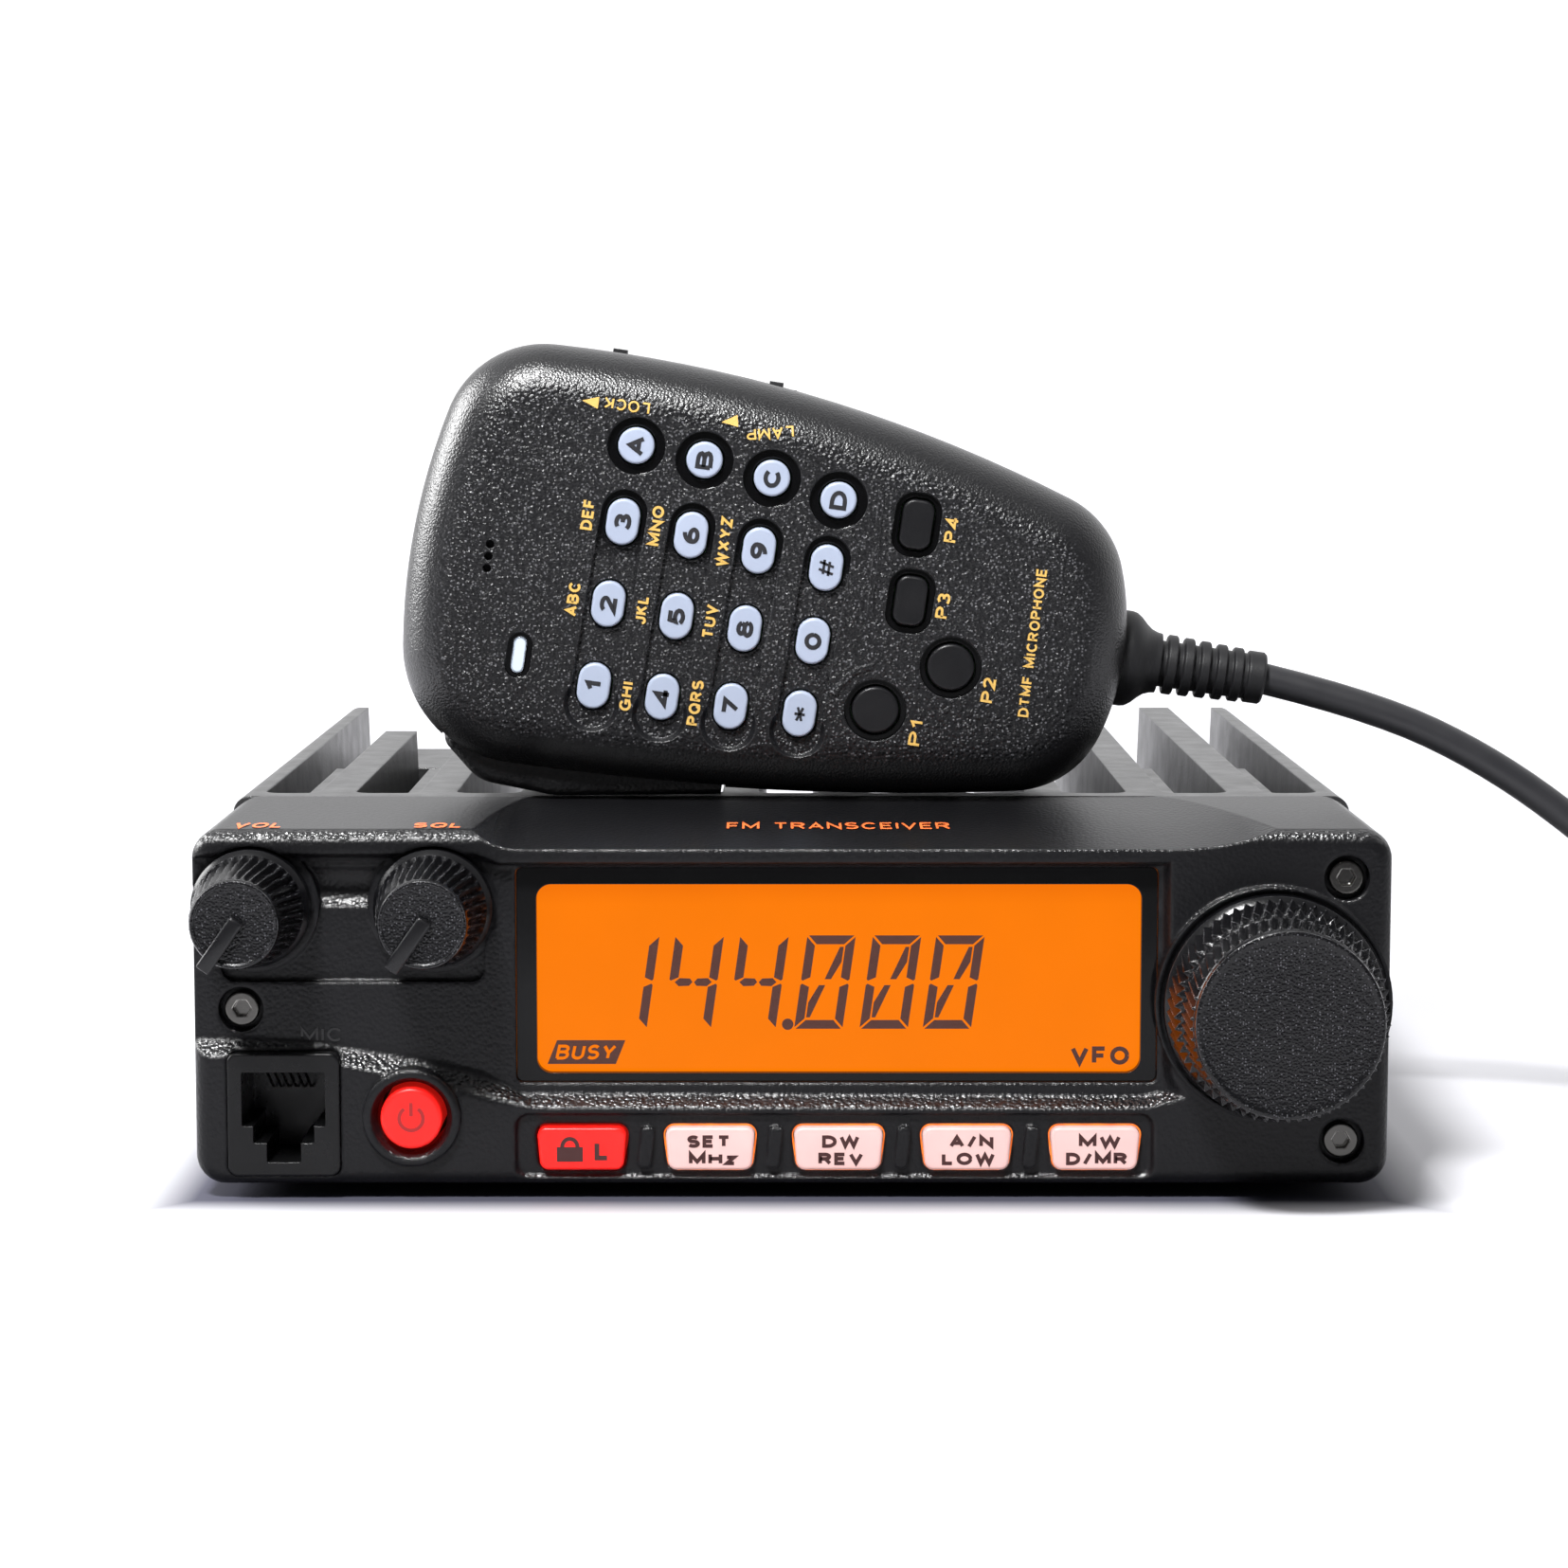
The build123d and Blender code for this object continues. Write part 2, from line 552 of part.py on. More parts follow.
def speaker():
    """Loudspeaker facing down through the cover slots."""
    profile = [
        (0, COVER_T + 2.0),
        (SPEAKER_R - 3.5, COVER_T + 1.2),
        (SPEAKER_R - 2.5, COVER_T),
        (SPEAKER_R, COVER_T),
        (SPEAKER_R, COVER_T + 1.5),
        (SPEAKER_R - 4.0, COVER_T + 5.0),
        (12.5, COVER_T + SPEAKER_H),
        (12.5, COVER_T + SPEAKER_H + 5.0),
        (0, COVER_T + SPEAKER_H + 5.0),
    ]
    half = make_face(Plane.XZ * Polyline(*profile, close=True))
    return Pos(SPEAKER_AT[0], SPEAKER_AT[1], 0) * revolve(half, Axis.Z)


def antenna_socket():
    """Threaded coaxial socket on a square flange, with its centre contact."""
    flange = slab(Pos(*SOCKET_AT) * RectangleRounded(25.0, 25.0, 2.0), (REAR_Y, REAR_Y + 2.5))
    shell = flange + rod_y(SOCKET_AT, SOCKET_R, (REAR_Y + 2.0, REAR_Y + SOCKET_REACH))
    shell += rod_y(SOCKET_AT, SOCKET_NECK_R - 0.1, (REAR_Y - 9.0, REAR_Y + 1))
    shell -= rod_y(SOCKET_AT, 6.2, (REAR_Y + SOCKET_REACH - 10.0, REAR_Y + SOCKET_REACH + 1))
    shell -= rod_y(SOCKET_AT, 2.6, (REAR_Y - 10.0, REAR_Y + SOCKET_REACH + 1))
    for x in (-1, 1):
        for z in (-1, 1):
            shell -= rod_y((SOCKET_AT[0] + 9.1 * x, SOCKET_AT[1] + 9.1 * z), 1.6, (REAR_Y - 1, REAR_Y + 4))
    contact = rod_y(SOCKET_AT, 2.6, (REAR_Y - 13.0, REAR_Y + SOCKET_REACH - 3.0))
    contact -= rod_y(SOCKET_AT, 1.95, (REAR_Y - 1.0, REAR_Y + SOCKET_REACH))
    return Compound(children=[shell, contact])


def dc_grommet():
    """Rubber bush in the rear wall where the supply lead leaves."""
    sleeve = rod_y(GLAND_AT, GLAND_R, (REAR_Y - CHASSIS_WALL, REAR_Y))
    sleeve += rod_y(GLAND_AT, GLAND_R + 1.6, (REAR_Y, REAR_Y + 2.4))
    return sleeve - rod_y(GLAND_AT, 2.6, (REAR_Y - 10, REAR_Y + 10))


def speaker_jack():
    """Small round socket for an outside loudspeaker."""
    body = rod_y(SPEAKER_JACK_AT, SPEAKER_JACK_R - 0.1, (REAR_Y - 14.0, REAR_Y))
    body += slab(Pos(*SPEAKER_JACK_AT) * RegularPolygon(5.0, 6), (REAR_Y, REAR_Y + 1.6))
    return body - rod_y(SPEAKER_JACK_AT, 1.8, (REAR_Y - 12.4, REAR_Y + 2))


# ---- Hand microphone, modelled in its own axes

MIC_FRAME = Plane(
    origin=MIC_AT,
    x_dir=(-cos(radians(MIC_TILT)), 0, sin(radians(MIC_TILT))),
    z_dir=(0, -1, 0),
)
MIC_PLACE = Location(MIC_FRAME)


def mic_outline(shrink=0.0):
    """Pear-shaped outline: bowed ends, gently bowed sides, four round corners."""
    top_lever, top_back = (98.8, 27.2), (96.7, -31.9)
    end_lever, end_back = (5.4, 19.3), (5.4, -19.7)
    border = ThreePointArc(top_lever, (102.6, -1.0), top_back)
    border += ThreePointArc(top_back, (45.0, -30.0), end_back)
    border += ThreePointArc(end_back, (0.0, 0.0), end_lever)
    border += ThreePointArc(end_lever, (48.0, 25.7), top_lever)
    face = make_face(border)
    for corner, radius in ((top_lever, 17.0), (top_back, 14.6), (end_lever, 14.0), (end_back, 14.0)):
        vertex = face.vertices().sort_by_distance(Vector(*corner))[0]
        face = fillet(vertex, radius)
    if shrink:
        face = offset(face, amount=-shrink)
    return face


def mic_half(front):
    """One half of the case as a closed bowl shape."""
    side = 1 if front else -1
    edge = MIC_EDGE_R if front else MIC_EDGE_R - 1
    outer = extrude(mic_outline(), amount=side * MIC_HALF)
    rim = outer.edges().filter_by_position(Axis.Z, side * MIC_HALF - 0.01, side * MIC_HALF + 0.01)
    outer = fillet(rim, edge)
    inner_height = MIC_HALF - MIC_WALL
    inner = extrude(mic_outline(MIC_WALL), amount=side * inner_height)
    rim = inner.edges().filter_by_position(Axis.Z, side * inner_height - 0.01, side * inner_height + 0.01)
    inner = fillet(rim, edge - MIC_WALL)
    return outer - inner


def key_place(column, row):
    """Place of a key in the microphone's axes. Row 0 holds 1, 4, 7 and the star, row 3 the letters."""
    narrow = 1 - KEY_TAPER * column ** 2
    across = (KEY_ROW * (row - 1) if row < 3 else KEY_ROW + LETTER_ROW) * narrow
    along = -KEY_COLUMN * column
    turn = radians(KEY_TURN)
    x = KEY_ORIGIN[0] + along * cos(turn) - across * sin(turn)
    y = KEY_ORIGIN[1] - across * cos(turn) - along * sin(turn)
    return (x, y)


def key_sketch(column, row, grow=0.0):
    """Face of a key: the digits are capsules, the letters are round."""
    x, y = key_place(column, row)
    if row == 3:
        return Pos(x, y) * Circle(LETTER_R + grow)
    half = (KEY_L - KEY_W) / 2
    return capsule((x, y - half), (x, y + half), KEY_W + 2 * grow)


P_KEYS = {
    "p4_key": ((32.3, -15.1), 4.4, 7.0),
    "p3_key": ((31.6, -4.4), 4.4, 7.0),
    "p2_key": ((24.6, 4.0), 6.6, 6.6),
    "p1_key": ((34.2, 11.5), 6.6, 6.6),
}


def p_key_sketch(name, grow=0.0):
    """Face of a programmable key: two are oblong, two are round."""
    (x, y), width, length = P_KEYS[name]
    if width == length:
        return Pos(x, y) * Circle(width / 2 + grow)
    return Pos(x, y) * RectangleRounded(width + 2 * grow, length + 2 * grow, 1.6 + grow)


LED_AT = (84.9, 11.1)
MIC_HOLES_AT = [(91.0, -2.0 + 1.7 * step) for step in (-1, 0, 1)]
MIC_SCREWS_AT = [(14.0, 9.5), (14.0, -9.5), (88.0, -17.0)]
LEVER_PIVOT = (56.0, 22.5)
LEVER_SWING = 1.6                 # how far its free end moves into the case
STUB_R = 1.0
STUB_SPAN = (-11.4, 10.6)         # both stub axles end inside the case walls


def lever_outline(grow=0.0, swing=0.0):
    """Talk lever, seen from the keypad side: thin at its pivot, bulging towards the top."""
    points = [
        (54.0 - grow, 20.0 - grow - swing), (54.0 - grow, 27.25 + grow), (77.6, 30.9 + grow),
        (88.5 + grow, 30.3 + grow), (94.0 + grow, 25.6 + grow), (94.6 + grow, 22.2 - grow - swing),
    ]
    face = outline(points)
    for corner, radius in ((points[3], 6.0), (points[4], 2.5), (points[2], 10.0)):
        vertex = face.vertices().sort_by_distance(Vector(*corner))[0]
        face = fillet(vertex, radius)
    return face


def ptt_lever():
    """Talk lever; it turns on two stub axles moulded at its cord end."""
    lever = Pos(0, 0, -PTT_T / 2 - 0.5) * extrude(lever_outline(), amount=PTT_T)
    rim = [
        edge for edge in lever.edges()
        if abs(edge.center().Z + 0.5) > PTT_T / 2 - 0.1 and edge.center().Y > 24.0
    ]
    return fillet(rim, 2.0) + lever_axle(STUB_R)


def lever_axle(radius, end_play=0.0):
    """Round bar through the talk lever's pivot."""
    low, high = STUB_SPAN
    return Pos(*LEVER_PIVOT, (low + high) / 2) * Cylinder(radius, high - low + 2 * end_play)


SLIDER_W = 4.0
SLIDER_L = 6.0
SLIDER_TRAVEL = 2.5
SLIDERS = {"lock_slider": 77.3, "lamp_slider": 54.6}


def back_edge_y(x):
    """Y of the case's outer side opposite the lever, at a distance x from the cord end."""
    radius = 212.3
    return -(-179.6 + (radius ** 2 - (x - 78.6) ** 2) ** 0.5)


def slider(x):
    """Thumb slide: a stem through the case wall, with a small nub for the finger."""
    edge = back_edge_y(x)
    half_l = SLIDER_L / 2
    half_w = SLIDER_W / 2
    stem = block((x - half_l, x + half_l), (edge + 0.3, edge + 5.0), (-half_w, half_w))
    return stem + block((x - 1.0, x + 1.0), (edge - 0.5, edge + 0.5), (-half_w, half_w))


def slider_slot(x):
    """Opening that lets a slide travel towards the top of the microphone."""
    edge = back_edge_y(x)
    low = x - SLIDER_L / 2 - 0.3
    high = x + SLIDER_L / 2 + SLIDER_TRAVEL + 0.3
    return block((low, high), (edge - 3.0, edge + 5.4), (-SLIDER_W / 2 - 0.3, SLIDER_W / 2 + 0.3))


BELL_R = 6.9


def relief_profile():
    """Half outline of the strain relief: bell, ribs and end collar, along x."""
    neck_r, rib_r = 4.3, 4.3
    points = [(3.0, 0), (3.0, BELL_R), (-1.0, BELL_R), (-3.2, 5.4), (-5.0, neck_r), (-5.6, neck_r)]
    start = -5.6
    for rib in range(5):
        radius = rib_r - 0.1 * rib
        points += [(start, 3.3), (start - 0.9, 3.3), (start - 0.9, radius), (start - 2.4, radius)]
        start -= 2.4
    points += [(start, 3.3), (start - 0.7, 3.3), (start - 0.7, 3.75), (-RELIEF_L, 3.75), (-RELIEF_L, 0)]
    return points


def strain_relief():
    """Ribbed rubber sleeve that leads the cord out of the case."""
    half = make_face(Polyline(*relief_profile(), close=True))
    return revolve(half, Axis.X)


def screw_post(x, y, z_span, outer_r, hole_r):
    middle = (z_span[0] + z_span[1]) / 2
    length = z_span[1] - z_span[0]
    return Pos(x, y, middle) * (Cylinder(outer_r, length) - Cylinder(hole_r, length))


def mic_openings():
    """Everything cut out of both case halves: lever, slides and cord."""
    lever_room = Pos(0, 0, -PTT_T / 2 - 0.5 - PTT_GAP) * extrude(
        lever_outline(PTT_GAP, LEVER_SWING), amount=PTT_T + 2 * PTT_GAP
    )
    cuts = [lever_room]
    cuts += [slider_slot(x) for x in SLIDERS.values()]
    cuts.append(Pos(0.5, 0, 0) * Rot(Y=90) * Cylinder(BELL_R + 0.02, 5.04))
    cuts.append(lever_axle(STUB_R + SHAFT_CLEARANCE, 0.2))
    return cuts


RIDGE_W = 0.8
RIDGE_RISE = 0.22


def key_ridges():
    """Low ridges that a thumb feels beside the programmable keys."""
    ridges = capsule((37.8, -18.6), (37.0, -1.6), RIDGE_W)
    middle, radius = P_KEYS["p1_key"][0], 6.1
    path = []
    for turn in (-12.0, -45.0, -78.0):
        path.append((middle[0] + radius * cos(radians(turn)), middle[1] + radius * sin(radians(turn))))
    arc = ThreePointArc(*path)
    return ridges + trace(arc, RIDGE_W)


def mic_front_case():
    """Keypad half of the case."""
    top = MIC_HALF
    case = mic_half(front=True)
    case += Pos(0, 0, top - 0.5) * extrude(key_ridges(), amount=0.5 + RIDGE_RISE)
    for column in range(4):
        start = key_place(column, 2)
        end = key_place(column, 0)
        channel = capsule((start[0], start[1] - 1.4), (end[0], end[1] + 2.6), KEY_CHANNEL_W)
        case -= Pos(0, 0, top - KEY_CHANNEL) * extrude(channel, amount=3)
        scoop = Cone(KEY_CHANNEL_W / 2, KEY_CHANNEL_W / 2 + 0.8, KEY_CHANNEL + 0.1)
        case -= Pos(end[0], end[1] + 2.6, top - KEY_CHANNEL / 2 + 0.05) * scoop
        ring = Pos(*key_place(column, 3)) * Circle(4.1)
        case -= Pos(0, 0, top - KEY_CHANNEL) * extrude(ring, amount=3)
        for row in range(4):
            case -= Pos(0, 0, top - 4) * extrude(key_sketch(column, row, KEY_GAP), amount=8)
    for name in P_KEYS:
        case -= Pos(0, 0, top - KEY_CHANNEL - 0.1) * extrude(p_key_sketch(name, 1.1), amount=3)
        case -= Pos(0, 0, top - 4) * extrude(p_key_sketch(name, KEY_GAP), amount=8)
    led = Pos(*LED_AT)
    case -= Pos(0, 0, top - 0.5) * extrude(led * SlotOverall(6.6, 3.6, rotation=90), amount=2)
    case -= Pos(0, 0, top - 4) * extrude(led * SlotOverall(5.1, 1.9, rotation=90), amount=8)
    for x, y in MIC_HOLES_AT:
        case -= Pos(x, y, top) * Cylinder(0.6, 8)
    for x, y in MIC_SCREWS_AT:
        case += screw_post(x, y, (0, MIC_HALF - MIC_WALL + 0.2), 2.6, 1.05)
    for cut in mic_openings():
        case -= cut
    return case


def mic_back_case():
    """Plain rear half of the case."""
    case = mic_half(front=False)
    for x, y in MIC_SCREWS_AT:
        case += screw_post(x, y, (-MIC_HALF + MIC_WALL - 0.2, 0), 2.6, 1.3)
        case -= Pos(x, y, -MIC_HALF + 0.9) * Cylinder(2.3, 2.0)
        case -= Pos(x, y, -MIC_HALF + 2) * Cylinder(1.3, 8)
    case -= Pos(STUD_X, 0, -MIC_HALF) * Cylinder(STUD_STEM_R, 2 * MIC_WALL + 2)
    for cut in mic_openings():
        case -= cut
    return case


STUD_X = 52.0
STUD_STEM_R = 3.0
STUD_HEAD_R = 6.0


def hang_stud():
    """Button on the back that hooks into a hanger."""
    z = -MIC_HALF
    stem_top = z + MIC_WALL
    stem = Pos(STUD_X, 0, (stem_top + z - 2.0) / 2) * Cylinder(STUD_STEM_R, stem_top - z + 2.0)
    head = Pos(STUD_X, 0, z - 3.0) * Cylinder(STUD_HEAD_R, 2.0)
    return stem + fillet(head.edges().group_by(Axis.Z)[0], 0.8)


def mic_screws():
    """Screws from the back that hold the two halves together."""
    screws = []
    for x, y in MIC_SCREWS_AT:
        head = Pos(x, y, -MIC_HALF + 1.1) * Cylinder(2.2, 1.4)
        head -= Pos(x, y, -MIC_HALF + 0.5) * (Box(2.6, 0.6, 1.0) + Box(0.6, 2.6, 1.0))
        screws.append(head + Pos(x, y, -MIC_HALF + 1.8 + 8.5) * Cylinder(1.0, 17.0))
    return Compound(children=screws)


def mic_board():
    """Keypad circuit board, just under the keys."""
    shape = outline([(18.0, -15.0), (40.0, -22.0), (80.0, -25.5), (84.0, -12.0), (84.0, 17.5), (20.0, 14.0)])
    board = Pos(0, 0, 8.0) * extrude(shape, amount=BOARD_T)
    return board


def mic_capsule():
    x, y = MIC_HOLES_AT[1]
    return Pos(x, y, MIC_HALF - MIC_WALL - 2.5) * Cylinder(3.4, 5.0)


def led_window():
    pipe = extrude(SlotOverall(5.1, 1.9, rotation=90), amount=MIC_WALL + 0.7)
    return Pos(*LED_AT, MIC_HALF - MIC_WALL - 0.8) * pipe


def key_cap(sketch, proud):
    """Rubber-backed key standing through the case front."""
    bottom = MIC_HALF - MIC_WALL - 0.8
    cap = Pos(0, 0, bottom) * extrude(sketch, amount=MIC_HALF + proud - bottom)
    return fillet(cap.edges().group_by(Axis.Z)[-1], 0.4)


# ---- Microphone cord: the lead that hangs free, the put-away coil and the plug

def mic_point(x, y=0.0, z=0.0):
    """A point given in the microphone's axes, as a vector in the whole frame."""
    return MIC_FRAME.from_local_coords(Vector(x, y, z))


def cord_route():
    """Corner points of the lead, from the strain relief to the coil's top turn."""
    start = mic_point(-RELIEF_L)
    y = start.Y
    coil_x, coil_y = COIL_AT
    landing = Vector(coil_x - 4.0, coil_y - COIL_MEAN_R - 2.4, COIL_H + CORD_R + 0.4)
    return [
        start, Vector(84.0, y, 62.6), Vector(101.0, y, 54.6), Vector(117.0, y + 0.5, 43.0),
        Vector(130.0, y + 0.2, 30.5), Vector(143.0, y - 0.6, 20.8), landing,
    ]


def tube(points, radius):
    """Round tube along straight runs joined by tangent arcs as large as the runs allow."""
    radii = []
    for before, corner, after in zip(points, points[1:], points[2:]):
        run_in, run_out = corner - before, after - corner
        turn = radians(run_in.get_angle(run_out))
        shorter = min(run_in.length, run_out.length)
        radii.append(0.45 * shorter / tan(turn / 2))
    path = FilletPolyline(*points, radius=radii)
    section = Plane(origin=path @ 0, z_dir=path % 0) * Circle(radius)
    solid = sweep(section, path=path)
    expected = pi * radius ** 2 * path.length
    print("lead radii", [round(value, 1) for value in radii])
    print("lead length", round(path.length, 1), "volume over section times length", solid.volume / expected)
    return solid


def cord_coil():
    """Outer shape of the wound cord: a flat ring on the ground."""
    section = Pos(COIL_MEAN_R, COIL_H / 2) * RectangleRounded(2 * COIL_BAND, COIL_H, 2.0)
    ring = revolve(Plane.XZ * section, Axis.Z)
    return Pos(COIL_AT[0], COIL_AT[1], 0) * ring


PLUG_SIZE = (9.6, 12.4, 6.6)


def cord_plug():
    """Six-way modular plug with its latch tongue, lying on the coil."""
    width, length, height = PLUG_SIZE
    body = Box(length, width, height)
    body -= Pos(length / 2 - 1.0, 0, height / 2) * Box(3.2, width - 2.4, 2.4)
    tongue = Pos(-0.6, 0, -height / 2 - 0.9) * Rot(Y=-5) * Box(length - 2.0, 3.1, 0.9)
    root = Pos(length / 2 - 0.9, 0, -height / 2 - 0.3) * Box(1.4, 3.1, 1.8)
    plug = Rot(Z=180) * Rot(X=180) * (body + root + tongue)
    return Pos(COIL_AT[0] + 2.0, COIL_AT[1] + COIL_MEAN_R, COIL_H + height / 2 + 0.3) * plug


# ---- Make everything

def make_radio():
    keep("chassis", chassis())
    keep("bottom_cover", bottom_cover())
    keep("cover_screws", cover_screws())
    keep("front_panel", front_panel())
    keep("panel_screws", panel_screws())
    keep("display_window", display_window())
    keep("lcd_module", lcd_module())
    keep("panel_board", panel_board())
    keep("potentiometers", potentiometers())
    keep("dial_encoder", dial_encoder())
    keep("mic_jack", mic_jack())
    keep("main_board", main_board())
    keep("power_module", power_module())
    keep("speaker", speaker())
    keep("antenna_socket", antenna_socket())
    keep("dc_grommet", dc_grommet())
    keep("speaker_jack", speaker_jack())
    keep("volume_knob", small_knob(VOLUME_AT))
    keep("squelch_knob", small_knob(SQUELCH_AT))
    keep("main_dial", knob(DIAL_AT, DIAL_R, DIAL_FACE_R, DIAL_BASE_R - 0.6, DIAL_REACH, FACE_Y - 0.5))
    keep("power_button", power_button())
    for index, name in enumerate(BUTTON_NAMES):
        keep(name, push_button(index))


def make_microphone():
    def place(name, shape):
        keep(name, MIC_PLACE * shape)

    place("mic_front_case", mic_front_case())
    place("mic_back_case", mic_back_case())
    place("mic_board", mic_board())
    place("mic_capsule", mic_capsule())
    place("led_window", led_window())
    place("strain_relief", strain_relief())
    place("hang_stud", hang_stud())
    place("mic_screws", mic_screws())
    place("ptt_lever", ptt_lever())
    for name, x in SLIDERS.items():
        place(name, slider(x))
    for column, names in enumerate(KEY_NAMES):
        for row, name in enumerate(names):
            place(name, key_cap(key_sketch(column, row), KEY_PROUD))
    for name in P_KEYS:
        place(name, key_cap(p_key_sketch(name), KEY_PROUD))


def make_cord():
    keep("cord_lead", tube(cord_route(), CORD_R))
    keep("cord_coil", cord_coil())
    keep("cord_plug", cord_plug())


make_radio()
make_microphone()
make_cord()
print(len(made), "sub-parts")
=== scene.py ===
import json
from math import cos, hypot, pi, radians, sin

import bmesh
import bpy
from mathutils import Matrix, Vector
from mathutils.bvhtree import BVHTree


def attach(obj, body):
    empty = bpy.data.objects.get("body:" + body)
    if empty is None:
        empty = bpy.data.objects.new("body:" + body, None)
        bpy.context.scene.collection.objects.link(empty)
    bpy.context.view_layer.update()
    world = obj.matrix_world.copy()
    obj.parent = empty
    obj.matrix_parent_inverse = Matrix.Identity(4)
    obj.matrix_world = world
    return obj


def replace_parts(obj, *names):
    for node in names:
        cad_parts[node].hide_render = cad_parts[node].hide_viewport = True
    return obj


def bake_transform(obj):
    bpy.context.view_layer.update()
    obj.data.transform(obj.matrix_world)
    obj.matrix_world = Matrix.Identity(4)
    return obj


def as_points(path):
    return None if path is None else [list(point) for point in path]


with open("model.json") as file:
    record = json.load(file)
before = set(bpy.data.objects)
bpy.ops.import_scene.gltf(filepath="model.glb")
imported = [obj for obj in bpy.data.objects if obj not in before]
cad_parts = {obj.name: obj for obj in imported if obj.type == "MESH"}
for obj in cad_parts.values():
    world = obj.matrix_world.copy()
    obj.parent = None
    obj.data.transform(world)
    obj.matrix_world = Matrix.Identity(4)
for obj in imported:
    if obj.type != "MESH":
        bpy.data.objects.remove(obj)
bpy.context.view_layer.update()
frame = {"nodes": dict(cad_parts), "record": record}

# Mobile two-way radio with its hand microphone: materials, legends, knobs, cord, light and camera.
# Lengths are written in millimetres and turned into metres where a mesh is made.

NODES = frame["nodes"]
MM = 0.001

FACE_Y = -92.5                    # front face of the panel
DECK_Z = 50.0                     # top of the panel
VOLUME_AT = (-72.1, 39.5)
SQUELCH_AT = (-47.8, 39.5)
DIAL_AT = (64.2, 26.8)
POWER_AT = (-50.8, 11.45)
LCD_Y = FACE_Y + 4.3              # front of the display glass
BUTTON_X = [-28.1 + 17.17 * step for step in range(5)]
BUTTON_Z = (4.25, 10.05)
BUTTON_HALF = (5.55, 6.05)        # half widths at the foot and at the top
BUTTONS = ["lock_button", "set_button", "watch_button", "name_button", "memory_button"]
POWER_FRONT = FACE_Y - 1.5

MIC_AT = (47.3, -46.5, 69.55)     # cord end of the microphone, on its middle line
MIC_TILT = radians(8.4)
MIC_HALF = 14.0
CORD_D = 4.5


# ---- Frames

def to_matrix(right, up, out, origin):
    """Matrix whose x, y and z run along the three directions, from an origin in millimetres."""
    rows = [[right[i], up[i], out[i], origin[i] * MM] for i in range(3)]
    return Matrix(rows + [[0, 0, 0, 1]])


MIC_X = Vector((-cos(MIC_TILT), 0, sin(MIC_TILT)))    # from the cord end to the top
MIC_Y = Vector((-sin(MIC_TILT), 0, -cos(MIC_TILT)))   # towards the talk lever
MIC_Z = Vector((0, -1, 0))                            # out of the keypad


def mic_point(x, y, z=0.0):
    """A point in the microphone's own axes, as millimetres in the whole frame."""
    return Vector(MIC_AT) + x * MIC_X + y * MIC_Y + z * MIC_Z


def on_front(x, z, y=FACE_Y):
    """Frame of a flat mark that faces the front of the radio."""
    return to_matrix((1, 0, 0), (0, 0, 1), (0, -1, 0), (x, y, z))


def on_deck(x, y):
    """Frame of a flat mark on top of the panel, read from the front."""
    return to_matrix((1, 0, 0), (0, 1, 0), (0, 0, 1), (x, y, DECK_Z))


def on_case(right, up, x, y, turn):
    """Frame of a mark on the microphone's keypad side, turned by some degrees."""
    spin = Matrix.Rotation(radians(turn), 3, MIC_Z)
    return to_matrix(spin @ right, spin @ up, MIC_Z, mic_point(x, y, MIC_HALF))


def on_keypad(x, y, turn=0.0):
    """Frame of a mark read with the cord at the foot."""
    return on_case(-MIC_Y, MIC_X, x, y, turn)


def beside_slide(x, y, turn=0.0):
    """Frame of a mark read with the talk lever up, as the slides' names are."""
    return on_case(MIC_X, MIC_Y, x, y, turn)


# ---- Materials

def srgb(red, green, blue):
    """Linear colour from display values of 0 to 255."""
    def linear(value):
        value /= 255
        return value / 12.92 if value <= 0.04045 else ((value + 0.055) / 1.055) ** 2.4
    return (linear(red), linear(green), linear(blue), 1)


def grey(value, cool=0):
    """Neutral colour of a display value, with its blue raised by `cool`."""
    return srgb(value, value, value + cool)


COLOUR_A, COLOUR_B, MIXED_COLOUR = 6, 7, 2    # a mix node's sockets for colours


